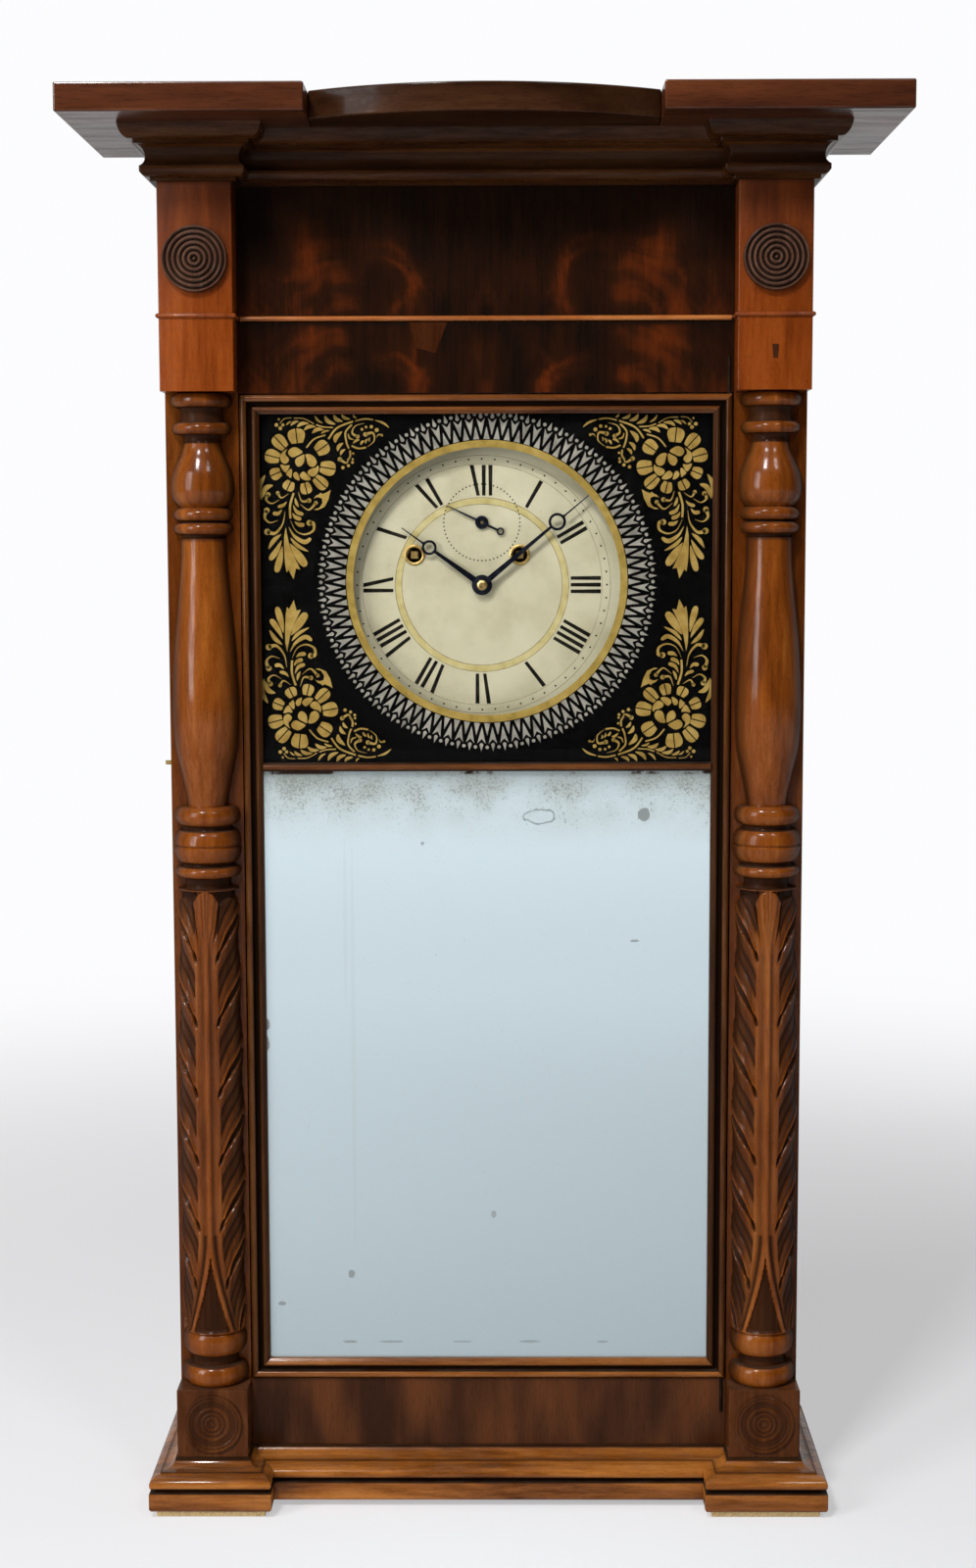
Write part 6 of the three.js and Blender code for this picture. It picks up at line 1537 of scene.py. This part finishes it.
def round_hole(middle, radius, sides=28):
    turns = [2 * math.pi * side / sides for side in range(sides)]
    return [(middle[0] + radius * math.cos(turn), middle[1] - radius * math.sin(turn)) for turn in turns]


def hand(name, outlines, thick, place, angle):
    piece = flat_piece(name, outlines, thick)
    round_edges(piece, 0.18, 2, 50)
    smooth_faces(30)
    moved(piece, (0, 0, 0), (90, 0, 0))
    moved(piece, (0, 0, 0), (0, angle, 0))
    return moved(piece, place)


def ring_hand_outlines(length, ring_at, ring, eye, hub, root, waist, tip, bore):
    right = arc((0, 0), hub, hub, 180, 28, 19)
    start = math.asin(root / 2 / hub)
    right.append((root / 2, hub * math.cos(start)))
    meet = math.degrees(math.asin(waist / 2 / ring))
    right += arc((0, ring_at), ring, ring, 180 - meet, meet, 16)
    right += [(waist * 0.32, ring_at + ring + 1.2), (tip / 2, length)]
    left = [(-across, up) for across, up in right[::-1][:-1]]
    return [right + left, round_hole((0, ring_at), eye), round_hole((0, 0), bore)]


minute_outlines = ring_hand_outlines(
    length=98, ring_at=69.2, ring=6.2, eye=4.3, hub=6.0, root=4.2, waist=2.0, tip=0.7, bore=2.2
)
hour_outlines = ring_hand_outlines(
    length=69.5, ring_at=45.6, ring=5.3, eye=3.5, hub=7.2, root=4.4, waist=2.2, tip=0.7, bore=3.8
)
minute_blade = hand("minute_blade", minute_outlines, 1.0, (HAND_X, 3.5, HAND_Z), 50.2)
hour_blade = hand("hour_blade", hour_outlines, 1.0, (HAND_X, 5.9, HAND_Z), 305.4)
SECONDS_HUB = 4.7
TAIL_RING = 2.8
TAIL_Z = -14.6
tail_meet = math.asin(0.8 / TAIL_RING)
seconds_outline = arc((0, 0), SECONDS_HUB, SECONDS_HUB, 170, 10, 16)
seconds_outline += [(0.8, 6.0), (0.3, 26.9), (-0.3, 26.9), (-0.8, 6.0)]
seconds_outline += arc((0, 0), SECONDS_HUB, SECONDS_HUB, -10, -170, 16)
seconds_outline.append((-0.8, -11.9))
for step in range(15):
    turn = -tail_meet - (2 * math.pi - 2 * tail_meet) * step / 14
    seconds_outline.append((math.sin(turn) * TAIL_RING, TAIL_Z + math.cos(turn) * TAIL_RING))
seconds_outline.append((0.8, -11.9))
seconds_outlines = [seconds_outline, round_hole((0, TAIL_Z), 1.6, 16), round_hole((0, 0), 1.2, 16)]
seconds_blade = hand("seconds_blade", seconds_outlines, 0.6, (HAND_X, 7.7, HAND_Z + SECONDS_RISE), 295.7)
collet_profile = [(2.2, 0.0), (3.8, 0.0), (3.8, 0.6), (3.5, 1.1), (2.9, 1.5), (2.2, 1.8), (2.2, 0.0)]
minute_collet = turned("minute_collet", collet_profile, (HAND_X, 3.0, HAND_Z), 40, axis="Y")
for piece, body, node, material, slot in (
    (minute_blade, "minute_work", "minute_hand", blued_steel, "blued_steel"),
    (minute_collet, "minute_work", "minute_hand", old_brass, "brass"),
    (hour_blade, "hour_work", "hour_hand", blued_steel, "blued_steel"),
    (seconds_blade, "escape", "seconds_hand", blued_steel, "blued_steel"),
):
    fit_piece(piece, material, node, body)


# Movement: brass plates and wheels on iron arbors, with an iron hammer and a bell-metal bell.
# Door and movement turn on iron pins and arbors.
IRON = ((0.09, 0.085, 0.08), (0.17, 0.165, 0.16), (0.26, 0.255, 0.25))
# Painted shade: the hinge pins are a near-black non-metal, so that they read as the dark line they make in
# the shade of the corner block.
IRON_PIN_SHADE_TONES = ((0.006, 0.003, 0.002), (0.012, 0.006, 0.003), (0.02, 0.011, 0.006))
# The plates are kept near black: partly tarnish, partly painted shade for the dark inside of the case seen
# through the winding holes.
TARNISHED_SHADED_BRASS = ((0.05, 0.03, 0.012), (0.1, 0.065, 0.025), (0.17, 0.115, 0.045))
iron_wire = metal_finish("iron_wire", IRON, 0.4)
dark_brass = metal_finish("dark_brass", TARNISHED_SHADED_BRASS, 0.45)
shaded_iron_pin = worn_leaf("iron_pin_in_shade", IRON_PIN_SHADE_TONES, 0.6)
dress(
    old_brass, "door_catch_pin", "going_drum", "going_great_wheel", "strike_drum", "strike_great_wheel",
    "centre_arbor", "third_arbor", "escape_arbor", "minute_wheel", "hour_wheel", "strike_pin_wheel", "bell",
)
dress(dark_brass, "front_plate", "back_plate")
dress(iron_wire, "anchor", "hammer")
dress(shaded_iron_pin, "upper_hinge_pin", "lower_hinge_pin")


# Pendulum and weights: a brass-faced bob on an iron wire, raised by a nut, and two cast-iron weights
# with a knob for the cord. The weights stand run down on the case floor.
PENDULUM_Y = 69.0
BOB_Z = 169.8
ARBOR_Z = 724.8
bob_profile = []
for step in range(21):
    turn = math.pi * (step / 20 - 0.5)
    bob_profile.append((37.2 * math.cos(turn) ** 0.8, 6.8 * math.sin(turn)))
bob_profile[8:13] = [(35.6, -1.6), (38.0, -1.3), (38.0, 1.3), (35.6, 1.6)]
pendulum_bob = turned("pendulum_bob", bob_profile, (HAND_X, PENDULUM_Y, BOB_Z), 72, axis="Y")
rod_profile = [
    (0.0, 111.8), (1.2, 111.8), (1.6, 112.6), (1.6, ARBOR_Z - 2.4), (2.6, ARBOR_Z - 1.8),
    (2.6, ARBOR_Z + 0.8), (0.0, ARBOR_Z + 1.3),
]
pendulum_rod = turned("pendulum_rod", rod_profile, (HAND_X, PENDULUM_Y, 0), 24)
nut_profile = [
    (1.4, 121.8), (4.4, 121.8), (5.0, 122.4), (5.0, 126.2), (4.4, 126.8), (1.4, 126.8), (1.4, 121.8)
]
rating_nut = turned("rating_nut", nut_profile, (HAND_X, PENDULUM_Y, 0), 32)
pin_profile = [(0.0, -4.7), (1.2, -4.7), (1.5, -4.4), (1.5, 4.4), (1.2, 4.7), (0.0, 4.7)]
pendulum_pin = turned("pendulum_pin", pin_profile, (HAND_X, PENDULUM_Y, ARBOR_Z), 20, axis="Y")
for piece, material in (
    (pendulum_bob, old_brass), (rating_nut, old_brass), (pendulum_rod, iron_wire), (pendulum_pin, iron_wire)
):
    fit_piece(piece, material, "pendulum", "pendulum")

CAST = ((0.025, 0.023, 0.021), (0.05, 0.047, 0.043), (0.09, 0.083, 0.075))
cast_iron = metal_finish("cast_iron", CAST, 0.62, 240.0)
WEIGHT_FOOT = 47.4
weight_profile = [(0.0, 0.0), (25.0, 0.0)]
weight_profile += curve_between([(25.0, 0.0), (28.8, 0.2), (29.0, 4.0)], 6)
weight_profile += curve_between([(29.0, 144.0), (29.0, 148.6), (24.0, 149.4)], 6)
weight_profile += curve_between([(24.0, 149.4), (10.0, 150.0), (5.2, 150.4), (4.0, 153.0)], 8)
weight_profile += curve_between([(3.8, 158.0), (4.2, 161.8), (7.4, 162.6), (8.0, 166.0)], 8)
weight_profile += curve_between([(8.0, 166.0), (7.6, 169.6), (0.0, 170.0)], 8)
right_casting = turned("right_weight_casting", weight_profile, (165.0, 48.0, WEIGHT_FOOT), 56)
fit_pair(right_casting, cast_iron, "right_weight", "right_weight")
